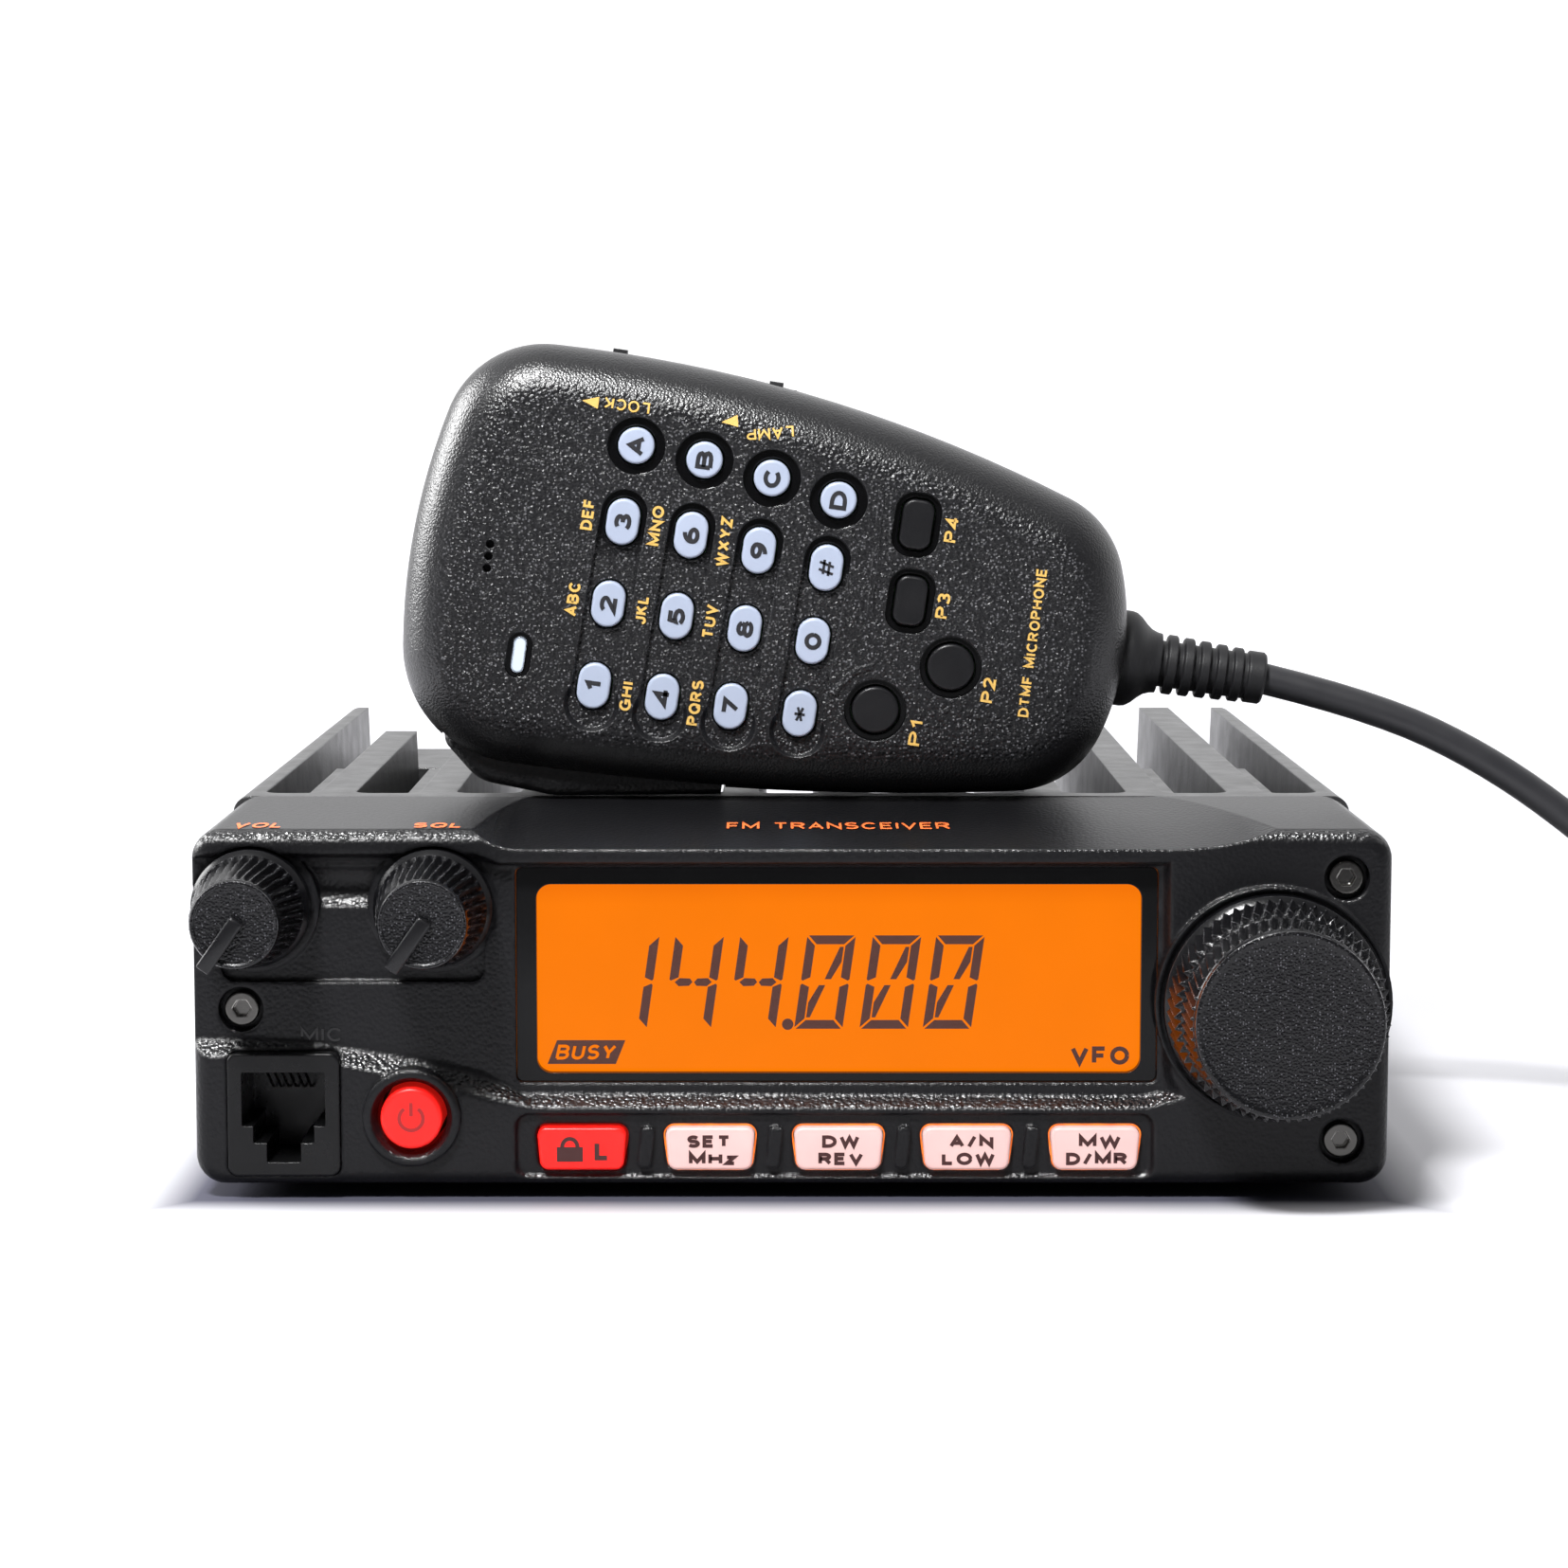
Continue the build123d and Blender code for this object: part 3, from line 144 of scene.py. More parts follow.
class Shade:
    """One material's node tree, with short ways to add nodes to it."""

    def __init__(self, name):
        self.material = bpy.data.materials.new(name)
        self.material.use_nodes = True
        self.tree = self.material.node_tree
        self.shader = self.tree.nodes["Principled BSDF"]
        self.place = self.add("TexCoord").outputs["Object"]
        self.rounded = None       # normal rounded at the edges, once edges() has made it

    def add(self, kind, sockets=None, **settings):
        made = self.tree.nodes.new("ShaderNode" + kind)
        for key, value in settings.items():
            setattr(made, key, value)
        for key, value in (sockets or {}).items():
            self.put(value, made.inputs[key])
        return made

    def put(self, value, socket):
        """Link an output to a socket, or set the socket's own value."""
        if isinstance(value, bpy.types.NodeSocket):
            self.tree.links.new(value, socket)
        else:
            socket.default_value = value

    def set(self, **values):
        """Set the shader's sockets; a word's underscores stand for spaces."""
        for key, value in values.items():
            self.put(value, self.shader.inputs[key.replace("_", " ")])
        return self

    def noise(self, size, detail=3.0):
        """Noise whose lumps are about `size` millimetres."""
        sockets = {"Vector": self.place, "Scale": 1 / (size * MM), "Detail": detail}
        return self.add("TexNoise", sockets).outputs["Fac"]

    def drift(self, low, high, size, detail=3.0):
        """A number that drifts between low and high in patches of about `size` millimetres."""
        return self.ranged(self.noise(size, detail), 0.3, 0.7, low, high)

    def grains(self, size):
        """Distance to, and a colour for, the nearest of scattered points `size` millimetres apart."""
        outputs = self.add("TexVoronoi", {"Vector": self.place, "Scale": 1 / (size * MM)}).outputs
        return outputs["Distance"], outputs["Color"]

    def pebbles(self, size):
        """Height of rounded pebbles about `size` millimetres across."""
        domes = self.ranged(self.grains(size)[0], 0.75, 0.0)
        return self.maths("ADD", domes, self.times(self.noise(size * 0.5, 2.0), 0.6))

    def painted_glints(self, size, share):
        """Painted glints: small dots, 1 at the tips of a share of the grains `size` millimetres apart, that
        stand in for tips catching the light.
        """
        away, luck = self.grains(size)
        dots = self.ranged(away, 0.36, 0.2)
        lucky = self.ranged(self.part(luck, "X"), 1 - share - 0.1, 1 - share + 0.1)
        return self.times(dots, lucky)

    def part(self, vector, axis):
        """One component of a vector or colour."""
        return self.add("SeparateXYZ", {0: vector}).outputs[axis]

    def facing(self):
        """How far the surface faces the back; -1 where it squarely faces the front."""
        return self.part(self.add("TexCoord").outputs["Normal"], "Y")

    def rolled(self):
        """1 where the rounded surface leans back between upright and level, as on an upper edge."""
        lean = self.part(self.rounded, "Z")
        return self.times(self.ranged(lean, 0.36, 0.6), self.ranged(lean, 0.97, 0.9))

    def skin(self):
        """The colour so far."""
        return self.shader.inputs["Base Color"].links[0].from_socket

    def ranged(self, value, low, high, to_low=0.0, to_high=1.0):
        """Map low..high to to_low..to_high, held at both ends; low may be the larger."""
        made = self.add("MapRange", {
            "Value": value, "From Min": low, "From Max": high, "To Min": to_low, "To Max": to_high,
        })
        return made.outputs["Result"]

    def between(self, factor, start, end):
        """A number that goes from start to end as the factor goes from 0 to 1."""
        return self.ranged(factor, 0.0, 1.0, start, end)

    def maths(self, operation, first, second=0.0):
        made = self.add("Math", {0: first, 1: second}, operation=operation)
        return made.outputs[0]

    def times(self, first, second):
        return self.maths("MULTIPLY", first, second)

    def mixed(self, factor, first, second):
        """Colour that goes from the first to the second as the factor goes from 0 to 1."""
        made = self.add("Mix", data_type="RGBA")
        self.put(factor, made.inputs["Factor"])
        self.put(first, made.inputs[COLOUR_A])
        self.put(second, made.inputs[COLOUR_B])
        return made.outputs[MIXED_COLOUR]

    def along(self, direction, origin=(0, 0, 0)):
        """Millimetres from an origin along a direction."""
        away = self.add("VectorMath", {0: self.place, 1: Vector(origin) * MM}, operation="SUBTRACT")
        return self.maths("DIVIDE", self.dot(away.outputs[0], direction), MM)

    def dot(self, first, second):
        made = self.add("VectorMath", {0: first, 1: second}, operation="DOT_PRODUCT")
        return made.outputs["Value"]

    def edges(self, radius):
        """1 along outer edges, 0 on flats; it also rounds the normal at the edges."""
        self.rounded = self.add("Bevel", {"Radius": radius * MM}, samples=6).outputs[0]
        flat = self.add("NewGeometry").outputs["Normal"]
        return self.ranged(self.dot(self.rounded, flat), 0.99, 0.86)

    def bump(self, height, depth):
        """Bump of `depth` millimetres on top of the rounded edges, where there are any."""
        made = self.add("Bump", {"Height": height, "Distance": depth * MM})
        if self.rounded is not None:
            self.put(self.rounded, made.inputs["Normal"])
        return made.outputs["Normal"]


def shifted(colour, share):
    """The same colour, lighter or darker by a share of itself."""
    return tuple(min(1.0, channel * (1 + share)) for channel in colour[:3]) + (1,)


def moulded(name, colour, roughness, grain=0.5, depth=0.03, wear=0.5, edge=0.25, specular=0.5,
            spread=0.06, rim=None):
    """Moulded or cast skin: fine grain, uneven gloss, faint colour drift, edges made bright (to `rim`) by
    wear and by a painted highlight.
    """
    shade = Shade(name)
    edges_worn_and_highlit = shade.edges(edge)
    base = shade.mixed(shade.noise(14.0, 4.0), shifted(colour, -0.1), shifted(colour, 0.1))
    # Edges lightened in patches towards `rim`: partly wear, partly a painted highlight.
    rubbed_and_highlit = shade.times(edges_worn_and_highlit, shade.ranged(shade.noise(2.5, 5.0), 0.42, 0.62, 0.0, wear))
    base = shade.mixed(rubbed_and_highlit, base, rim or shifted(colour, 1.6))
    rough = shade.drift(roughness - spread, roughness + spread, 5.0, 5.0)
    shade.set(Base_Color=base, Roughness=rough, Specular_IOR_Level=specular)
    shade.set(Normal=shade.bump(shade.noise(grain, 2.0), depth))
    return shade


def metal(name, colour, roughness, grain=0.4, depth=0.01, edge=0.15, rim=None):
    """Plated or machined metal with fine streaks, its edges made lighter by wear and by a painted highlight.
    """
    shade = Shade(name)
    edges_worn_and_highlit = shade.edges(edge)
    base = shade.mixed(shade.noise(6.0, 4.0), shifted(colour, -0.18), shifted(colour, 0.1))
    # Edges lighter, towards `rim`: partly wear, partly a painted highlight.
    base = shade.mixed(edges_worn_and_highlit, base, rim or shifted(colour, 0.35))
    rough = shade.drift(roughness * 0.75, roughness * 1.3, 3.0, 5.0)
    shade.set(Base_Color=base, Roughness=rough, Metallic=1.0)
    shade.set(Normal=shade.bump(shade.noise(grain, 3.0), depth))
    return shade


def pebbled(name, colour, roughness, size, height, **skin):
    """Spark-textured plastic: rounded pebbles that catch small lights."""
    shade = moulded(name, colour, roughness, **skin)
    shade.set(Normal=shade.bump(shade.pebbles(size), height))
    return shade


def knob_material():
    """Black knob plastic: grain with painted glints on the flat face, smooth flutes whose crests get a
    painted highlight (the bright `rim`).
    """
    shade = moulded(
        "knob_plastic", grey(10, 2), 0.24, wear=1.0, edge=0.2, specular=0.3, spread=0.04,
        rim=grey(98, 3),
    )
    face = shade.ranged(shade.facing(), -0.9, -0.985)
    # Painted glints: lighter dots on the flat face that stand in for grain tips catching the light.
    painted_glint_mask = shade.times(face, shade.painted_glints(0.34, 0.4))
    shade.set(Base_Color=shade.mixed(painted_glint_mask, shade.skin(), grey(72, 4)))
    height = shade.times(shade.pebbles(0.4), shade.between(face, 0.08, 1.0))
    shade.set(Normal=shade.bump(height, 0.06))
    return shade


def panel_material():
    """Fine-textured black plastic, glossier and rougher to the touch where its edges roll over."""
    # Edges lightened towards grey 40: partly wear, partly a painted highlight.
    shade = pebbled(
        "panel_plastic", grey(14, 2), 0.36, 0.46, 0.05, wear=0.5, edge=0.8, specular=0.2, spread=0.04,
        rim=grey(40, 2),
    )
    rolled = shade.rolled()
    shade.set(Specular_IOR_Level=shade.between(rolled, 0.2, 0.8))
    shade.set(Roughness=shade.between(rolled, 0.36, 0.26))
    height = shade.times(shade.pebbles(0.6), shade.between(rolled, 0.4, 1.7))
    shade.set(Normal=shade.bump(height, 0.09))
    return shade


def mic_case_material():
    """Pebbled on the flat keypad side and the back, with painted glints there, satin round the edges, and
    painted shade, glossy near black, in the key wells.
    """
    # Edges lightened towards grey 80: partly wear, partly a painted highlight.
    shade = moulded("mic_case", grey(17, 2), 0.4, wear=0.4, edge=0.3, rim=grey(80, 3))
    facing = shade.facing()
    flat = shade.ranged(shade.maths("ABSOLUTE", facing), 0.9, 0.985)
    faces_out = shade.ranged(facing, -0.98, -0.99)
    sunk = shade.ranged(shade.along(MIC_Z, MIC_AT), MIC_HALF - 0.2, MIC_HALF - 0.3)
    upper = shade.ranged(shade.along(MIC_Y, MIC_AT), -4.0, -8.0)
    up = shade.along(MIC_X, MIC_AT)
    ends = shade.maths("MAXIMUM", shade.ranged(up, 40.0, 39.5), shade.ranged(up, 80.0, 80.5))
    # Painted shade: the sunk wells outside the keypad field, above it and past both its ends, are coloured
    # near black.
    painted_well_shade = shade.times(shade.times(sunk, faces_out), shade.maths("MAXIMUM", upper, ends))

    coarse = shade.times(shade.pebbles(0.66), flat)
    fine = shade.times(shade.pebbles(0.36), 0.3)
    height = shade.times(shade.maths("ADD", coarse, fine), shade.maths("SUBTRACT", 1.0, painted_well_shade))
    shade.set(Normal=shade.bump(height, 0.14))
    # Painted glints: lighter dots on the flat sides.
    skin_with_painted_glints = shade.mixed(shade.times(shade.painted_glints(0.5, 0.7), flat), shade.skin(), grey(82, 3))
    shade.set(Base_Color=shade.mixed(painted_well_shade, skin_with_painted_glints, grey(5, 1)))
    shade.set(Specular_IOR_Level=shade.between(flat, 0.66, 0.36))
    shade.set(Roughness=shade.between(painted_well_shade, 0.3, 0.12))
    return shade


def display_material():
    """Lit amber glass, a little deeper along its upper edge."""
    shade = Shade("display")
    upper = shade.ranged(shade.along((0, 0, 1)), 39.5, 42.4)
    amber = shade.mixed(shade.times(upper, 0.5), srgb(254, 125, 0), srgb(236, 106, 0))
    shade.set(Base_Color=srgb(10, 4, 0), Roughness=0.3, Specular_IOR_Level=0.06)
    shade.set(Emission_Color=amber, Emission_Strength=shade.drift(0.97, 1.0, 9.0))
    shade.set(Normal=shade.bump(shade.noise(0.3, 1.0), 0.004))
    return shade


def glow_material():
    """Amber light that leaks round the lit buttons."""
    shade = Shade("button_glow")
    shade.set(Base_Color=srgb(200, 90, 10), Emission_Color=srgb(255, 118, 10))
    shade.set(Emission_Strength=shade.ranged(shade.noise(2.0, 3.0), 0.35, 0.65, 0.25, 1.0))
    return shade


def lit_button_material():
    """Milky cap lit from behind: pink-white in the middle, warmer at its rim."""
    shade = moulded("lit_button", srgb(184, 148, 146), 0.34, grain=0.3, depth=0.006, wear=0.0)
    rim = shade.edges(0.9)
    tint = shade.mixed(rim, srgb(255, 214, 206), srgb(255, 112, 30))
    shade.set(Emission_Color=tint, Emission_Strength=shade.drift(0.24, 0.29, 4.0, 2.0))
    return shade


def red_button_material():
    """Red cap that glows faintly all over."""
    shade = moulded("red_button", srgb(214, 20, 16), 0.34, grain=0.3, depth=0.006, wear=0.0, specular=0.3)
    shade.set(Emission_Color=srgb(255, 34, 26), Emission_Strength=shade.drift(0.26, 0.32, 4.0, 2.0))
    return shade


def circuit_material():
    """Green board with faint tracks."""
    shade = Shade("circuit_board")
    tracks = shade.add("TexBrick", {"Vector": shade.place, "Scale": 160.0, "Mortar Size": 0.03})
    shade.put(srgb(18, 74, 40), tracks.inputs["Color1"])
    shade.put(srgb(14, 62, 36), tracks.inputs["Color2"])
    shade.put(srgb(62, 112, 58), tracks.inputs["Mortar"])
    shade.set(Base_Color=tracks.outputs["Color"], Roughness=shade.drift(0.3, 0.5, 4.0))
    shade.set(Normal=shade.bump(tracks.outputs["Fac"], 0.03))
    return shade


def print_material(name, colour, roughness):
    """Ink, slightly uneven."""
    shade = Shade(name)
    base = shade.mixed(shade.noise(0.5, 4.0), shifted(colour, -0.2), shifted(colour, 0.08))
    shade.set(Base_Color=base, Roughness=shade.drift(roughness - 0.1, roughness + 0.1, 1.0))
    shade.set(Normal=shade.bump(shade.noise(0.15, 2.0), 0.006))
    return shade


def window_material():
    """Gloss-black frame with a hint of haze."""
    shade = Shade("window_frame")
    base = shade.mixed(shade.edges(0.2), grey(9, 1), grey(34, 2))
    shade.set(Base_Color=base, Roughness=shade.ranged(shade.noise(8.0, 5.0), 0.35, 0.7, 0.06, 0.16))
    shade.set(Normal=shade.bump(shade.noise(2.0, 1.0), 0.004), Specular_IOR_Level=0.14)
    return shade


def lamp_material():
    """Milky light pipe with painted shade, near black, along its rim."""
    shade = moulded("led_plastic", srgb(190, 202, 218), 0.25, grain=0.3, depth=0.004, wear=0.0)
    # Painted shade: the light pipe's rim is coloured near black.
    base = shade.mixed(shade.ranged(shade.edges(0.55), 0.0, 0.4), srgb(190, 202, 218), srgb(8, 9, 12))
    shade.set(Base_Color=base)
    return shade


MATERIALS = {
    "die_cast": pebbled("die_cast", grey(36, 1), 0.36, 0.5, 0.022, wear=0.5, edge=0.45, spread=0.04),
    "cover_steel": pebbled("cover_steel", grey(30, 1), 0.4, 0.8, 0.02, wear=0.6, edge=0.3),
    # The screws' edges are lightened near white: a painted highlight ring, with wear.
    "black_screw": metal("black_screw", srgb(78, 77, 75), 0.16, edge=0.3, rim=srgb(214, 212, 206)),
    "panel_plastic": panel_material(),
    "window_black": window_material(),
    "amber_display": display_material(),
    "circuit_board": circuit_material(),
    "control_body": metal("control_body", srgb(150, 150, 148), 0.35),
    "socket_plastic": moulded("socket_plastic", grey(11, 1), 0.3, depth=0.01, edge=0.25, specular=0.2),
    "module_plastic": moulded("module_plastic", grey(28, 2), 0.5),
    "speaker_steel": metal("speaker_steel", srgb(120, 120, 118), 0.4),
    "nickel": metal("nickel", srgb(196, 190, 178), 0.22),
    "black_rubber": moulded("black_rubber", grey(20, 2), 0.5, grain=0.3, depth=0.02, wear=0.2, specular=0.35),
    "knob_plastic": knob_material(),
    "red_button": red_button_material(),
    "lit_button": lit_button_material(),
    "case_plastic": mic_case_material(),
    # The capsule is dark grey, not bare aluminium: painted shade that keeps the sound holes in front of it
    # dark.
    "capsule_aluminium": metal("capsule_aluminium", grey(40, 2), 0.35),
    "led_plastic": lamp_material(),
    "bright_screw": metal("bright_screw", srgb(178, 176, 170), 0.3),
    "lever_plastic": pebbled("lever_plastic", grey(18, 2), 0.36, 0.6, 0.07, wear=0.3, edge=0.3),
    "slider_plastic": moulded("slider_plastic", grey(22, 2), 0.44, depth=0.015, edge=0.2),
    "key_white": moulded("key_white", srgb(152, 161, 180), 0.36, grain=0.25, depth=0.006, wear=0.0),
    "key_black": moulded("key_black", grey(18, 2), 0.36, grain=0.3, depth=0.015, edge=0.3, specular=0.28),
    "cord_rubber": moulded("cord_jacket", grey(31, 3), 0.45, grain=0.35, depth=0.012, wear=0.0),
    "plug_plastic": moulded("plug_plastic", srgb(206, 204, 196), 0.14, grain=0.6, depth=0.004, wear=0.0),
}
GOLD_INK = print_material("gold_ink", srgb(206, 166, 86), 0.45)
DARK_INK = print_material("dark_ink", grey(22, 6), 0.5)
GLOSS_INK = print_material("gloss_ink", grey(12, 1), 0.22)
GLOSS_INK.set(Specular_IOR_Level=0.32)
BUTTON_INK = print_material("button_ink", srgb(52, 12, 10), 0.5)
ORANGE_INK = print_material("orange_ink", srgb(246, 112, 52), 0.5)
SEGMENT_INK = print_material("display_segments", srgb(58, 20, 6), 0.45)
RED_INK = print_material("red_ink", srgb(124, 6, 6), 0.5)
RED_INK.set(Emission_Color=srgb(190, 14, 14), Emission_Strength=0.2)
# The pointer's edges are lightened towards grey 92: a painted highlight, with wear.
POINTER_PLASTIC = moulded(
    "pointer_plastic", grey(14, 2), 0.3, depth=0.01, wear=1.0, edge=0.4, specular=0.3,
    rim=grey(92, 2),
)
CONTACT_METAL = metal("contact_metal", srgb(70, 66, 60), 0.3)
GLOW = glow_material()


def dress_nodes():
    """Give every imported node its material."""
    slots = {part["node"]: part["material_slot"] for part in frame["record"]["subparts"]}
    for name, node in NODES.items():
        node.data.materials.clear()
        node.data.materials.append(MATERIALS[slots[name]].material)


# ---- Mesh helpers

def added(name, data):
    """A new object with this data, in the scene."""
    made = bpy.data.objects.new(name, data)
    bpy.context.scene.collection.objects.link(made)
    return made


def dressed(name, mesh, shade):
    """A new object with this mesh and material."""
    mesh.materials.clear()
    mesh.materials.append(shade.material)
    return added(name, mesh)


def piece(name, mesh, shade, body, smooth=None):
    """A finished mesh with its material, as a piece that rides on a body. `smooth` is the angle in degrees
    above which an edge stays sharp."""
    made = dressed(name, mesh, shade)
    if smooth is not None:
        mesh.polygons.foreach_set("use_smooth", [True] * len(mesh.polygons))
        mesh.set_sharp_from_angle(angle=radians(smooth))
    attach(made, body)
    return made


def mesh_of(name, points, faces):
    """Mesh from points in millimetres."""
    mesh = bpy.data.meshes.new(name)
    mesh.from_pydata([tuple(c * MM for c in point) for point in points], [], faces)
    mesh.validate()
    return mesh


def welded(mesh):
    """Merge doubled points and turn the normals outwards."""
    work = bmesh.new()
    work.from_mesh(mesh)
    bmesh.ops.remove_doubles(work, verts=work.verts, dist=1e-7)
    bmesh.ops.dissolve_degenerate(work, edges=work.edges, dist=1e-8)
    bmesh.ops.recalc_face_normals(work, faces=work.faces)
    work.to_mesh(mesh)
    work.free()
    return mesh


def ring_faces(rings, around):
    """Quads that join rings of points, each ring to the next."""
    return [
        (ring * around + step, ring * around + (step + 1) % around,
         (ring + 1) * around + (step + 1) % around, (ring + 1) * around + step)
        for ring in range(rings - 1) for step in range(around)
    ]


def lathe(name, profile, place, steps, reach=None):
    """Turned mesh. `profile` is (along, radius) pairs; `place` gives the point at (along, radius, angle);
    `reach` may change a radius, given (index, along, radius, angle)."""
    points = []
    for index, (along, radius) in enumerate(profile):
        for step in range(steps):
            angle = 2 * pi * step / steps
            near = radius if reach is None else reach(index, along, radius, angle)
            points.append(place(along, near, angle))
    return welded(mesh_of(name, points, ring_faces(len(profile), steps)))


def joined(name, meshes):
    """Several meshes as one."""
    work = bmesh.new()
    for mesh in meshes:
        work.from_mesh(mesh)
        bpy.data.meshes.remove(mesh)
    whole = bpy.data.meshes.new(name)
    work.to_mesh(whole)
    work.free()
    return whole


def bar_mesh(name, size, matrix, round_by):
    """Box with rounded edges; size in millimetres."""
    work = bmesh.new()
    bmesh.ops.create_cube(work, size=1.0)
    bmesh.ops.scale(work, vec=Vector(size) * MM, verts=work.verts)
    bmesh.ops.bevel(
        work, geom=list(work.edges), offset=round_by * MM, segments=3, affect="EDGES", profile=0.5,
    )
    work.transform(matrix)
    mesh = bpy.data.meshes.new(name)
    work.to_mesh(mesh)
    work.free()
    return mesh


# ---- Marks: lettering and flat shapes laid on a surface

def arc(x, y, rx, ry, start, end, steps=6):
    """Points along an ellipse, angles in degrees."""
    turns = [radians(start + (end - start) * step / steps) for step in range(steps + 1)]
    return [(x + rx * cos(turn), y + ry * sin(turn)) for turn in turns]


def alphabet():
    """Plain bold capitals and digits: each sign is its width and its strokes, on a height of 1."""
    bowl_high = arc(0.36, 0.76, 0.26, 0.24, 90, -90)
    bowl_low = arc(0.38, 0.26, 0.28, 0.26, 90, -90)
    signs = {
        "A": (0.72, [[(0, 0), (0.36, 1), (0.72, 0)], [(0.14, 0.32), (0.58, 0.32)]]),
        "B": (0.66, [[(0, 0), (0, 1), (0.36, 1)] + bowl_high + [(0, 0.52)],
                     [(0.3, 0.52)] + bowl_low + [(0, 0)]]),
        "C": (0.7, [arc(0.36, 0.5, 0.36, 0.5, 40, 320, 14)]),
        "D": (0.68, [[(0, 0), (0, 1), (0.26, 1)] + arc(0.26, 0.5, 0.42, 0.5, 90, -90, 10) + [(0, 0)]]),
        "E": (0.56, [[(0.56, 1), (0, 1), (0, 0), (0.56, 0)], [(0, 0.52), (0.5, 0.52)]]),
        "F": (0.54, [[(0.54, 1), (0, 1), (0, 0)], [(0, 0.5), (0.48, 0.5)]]),
        "G": (0.74, [arc(0.37, 0.5, 0.37, 0.5, 45, 300, 14) + [(0.74, 0.14), (0.74, 0.46), (0.42, 0.46)]]),
        "H": (0.64, [[(0, 0), (0, 1)], [(0.64, 0), (0.64, 1)], [(0, 0.52), (0.64, 0.52)]]),
        "I": (0.0, [[(0, 0), (0, 1)]]),
        "J": (0.48, [[(0.48, 1), (0.48, 0.26)] + arc(0.24, 0.25, 0.24, 0.25, 0, -180)]),
        "K": (0.64, [[(0, 0), (0, 1)], [(0.6, 1), (0.04, 0.42)], [(0.22, 0.58), (0.64, 0)]]),
        "L": (0.52, [[(0, 1), (0, 0), (0.52, 0)]]),
        "M": (0.8, [[(0, 0), (0, 1), (0.4, 0.18), (0.8, 1), (0.8, 0)]]),
        "N": (0.66, [[(0, 0), (0, 1), (0.66, 0), (0.66, 1)]]),
        "O": (0.76, [arc(0.38, 0.5, 0.38, 0.5, 0, 360, 20)]),
        "P": (0.62, [[(0, 0), (0, 1), (0.34, 1)] + arc(0.34, 0.74, 0.27, 0.26, 90, -90) + [(0, 0.48)]]),
        "Q": (0.76, [arc(0.38, 0.5, 0.38, 0.5, 0, 360, 20), [(0.46, 0.28), (0.76, -0.04)]]),
        "R": (0.64, [[(0, 0), (0, 1), (0.34, 1)] + arc(0.34, 0.75, 0.27, 0.25, 90, -90) + [(0, 0.5)],
                     [(0.34, 0.5), (0.64, 0)]]),
        "S": (0.62, [arc(0.31, 0.75, 0.29, 0.25, 30, 240, 10) + arc(0.31, 0.26, 0.31, 0.26, 70, -150, 10)]),
        "T": (0.64, [[(0, 1), (0.64, 1)], [(0.32, 1), (0.32, 0)]]),
        "U": (0.64, [[(0, 1), (0, 0.3)] + arc(0.32, 0.3, 0.32, 0.3, 180, 360, 10) + [(0.64, 1)]]),
        "V": (0.7, [[(0, 1), (0.35, 0), (0.7, 1)]]),
        "W": (1.0, [[(0, 1), (0.24, 0), (0.5, 0.92), (0.76, 0), (1.0, 1)]]),
        "X": (0.66, [[(0, 0), (0.66, 1)], [(0, 1), (0.66, 0)]]),
        "Y": (0.68, [[(0, 1), (0.34, 0.44), (0.68, 1)], [(0.34, 0.44), (0.34, 0)]]),
        "Z": (0.6, [[(0, 1), (0.6, 1), (0, 0), (0.6, 0)]]),
        "z": (0.44, [[(0, 0.68), (0.44, 0.68), (0, 0), (0.44, 0)]]),
        "0": (0.6, [arc(0.3, 0.5, 0.3, 0.5, 0, 360, 20)]),
        "1": (0.26, [[(0, 0.74), (0.26, 1), (0.26, 0)]]),
        "2": (0.56, [arc(0.28, 0.73, 0.28, 0.27, 165, -25, 9) + [(0, 0), (0.58, 0)]]),
        "3": (0.56, [arc(0.27, 0.75, 0.26, 0.25, 150, -90, 9), arc(0.27, 0.26, 0.3, 0.26, 90, -155, 9)]),
        "4": (0.6, [[(0.46, 0), (0.46, 1), (0, 0.28), (0.64, 0.28)]]),
        "5": (0.56, [[(0.52, 1), (0.1, 1), (0.04, 0.52)] + arc(0.27, 0.31, 0.3, 0.31, 120, -155, 10)]),
        "6": (0.58, [arc(0.29, 0.3, 0.28, 0.3, 0, 360, 16), arc(0.4, 0.4, 0.4, 0.6, 90, 185, 7)]),
        "7": (0.56, [[(0, 1), (0.58, 1), (0.2, 0)]]),
        "8": (0.58, [arc(0.29, 0.76, 0.24, 0.24, 0, 360, 14), arc(0.29, 0.26, 0.29, 0.27, 0, 360, 16)]),
        "9": (0.58, [arc(0.29, 0.7, 0.28, 0.3, 0, 360, 16), arc(0.17, 0.6, 0.4, 0.6, -90, 5, 7)]),
        "#": (0.7, [[(0.1, 0), (0.26, 1)], [(0.44, 0), (0.6, 1)], [(0, 0.32), (0.66, 0.32)],
                    [(0.06, 0.68), (0.72, 0.68)]]),
        "/": (0.36, [[(0, -0.05), (0.36, 1.05)]]),
        " ": (0.3, []),
    }
    star = [[(0.35 + 0.36 * cos(a), 0.5 + 0.36 * sin(a)), (0.35 - 0.36 * cos(a), 0.5 - 0.36 * sin(a))]
            for a in (radians(90), radians(30), radians(150))]
    signs["*"] = (0.7, star)
    return signs


ALPHABET = alphabet()


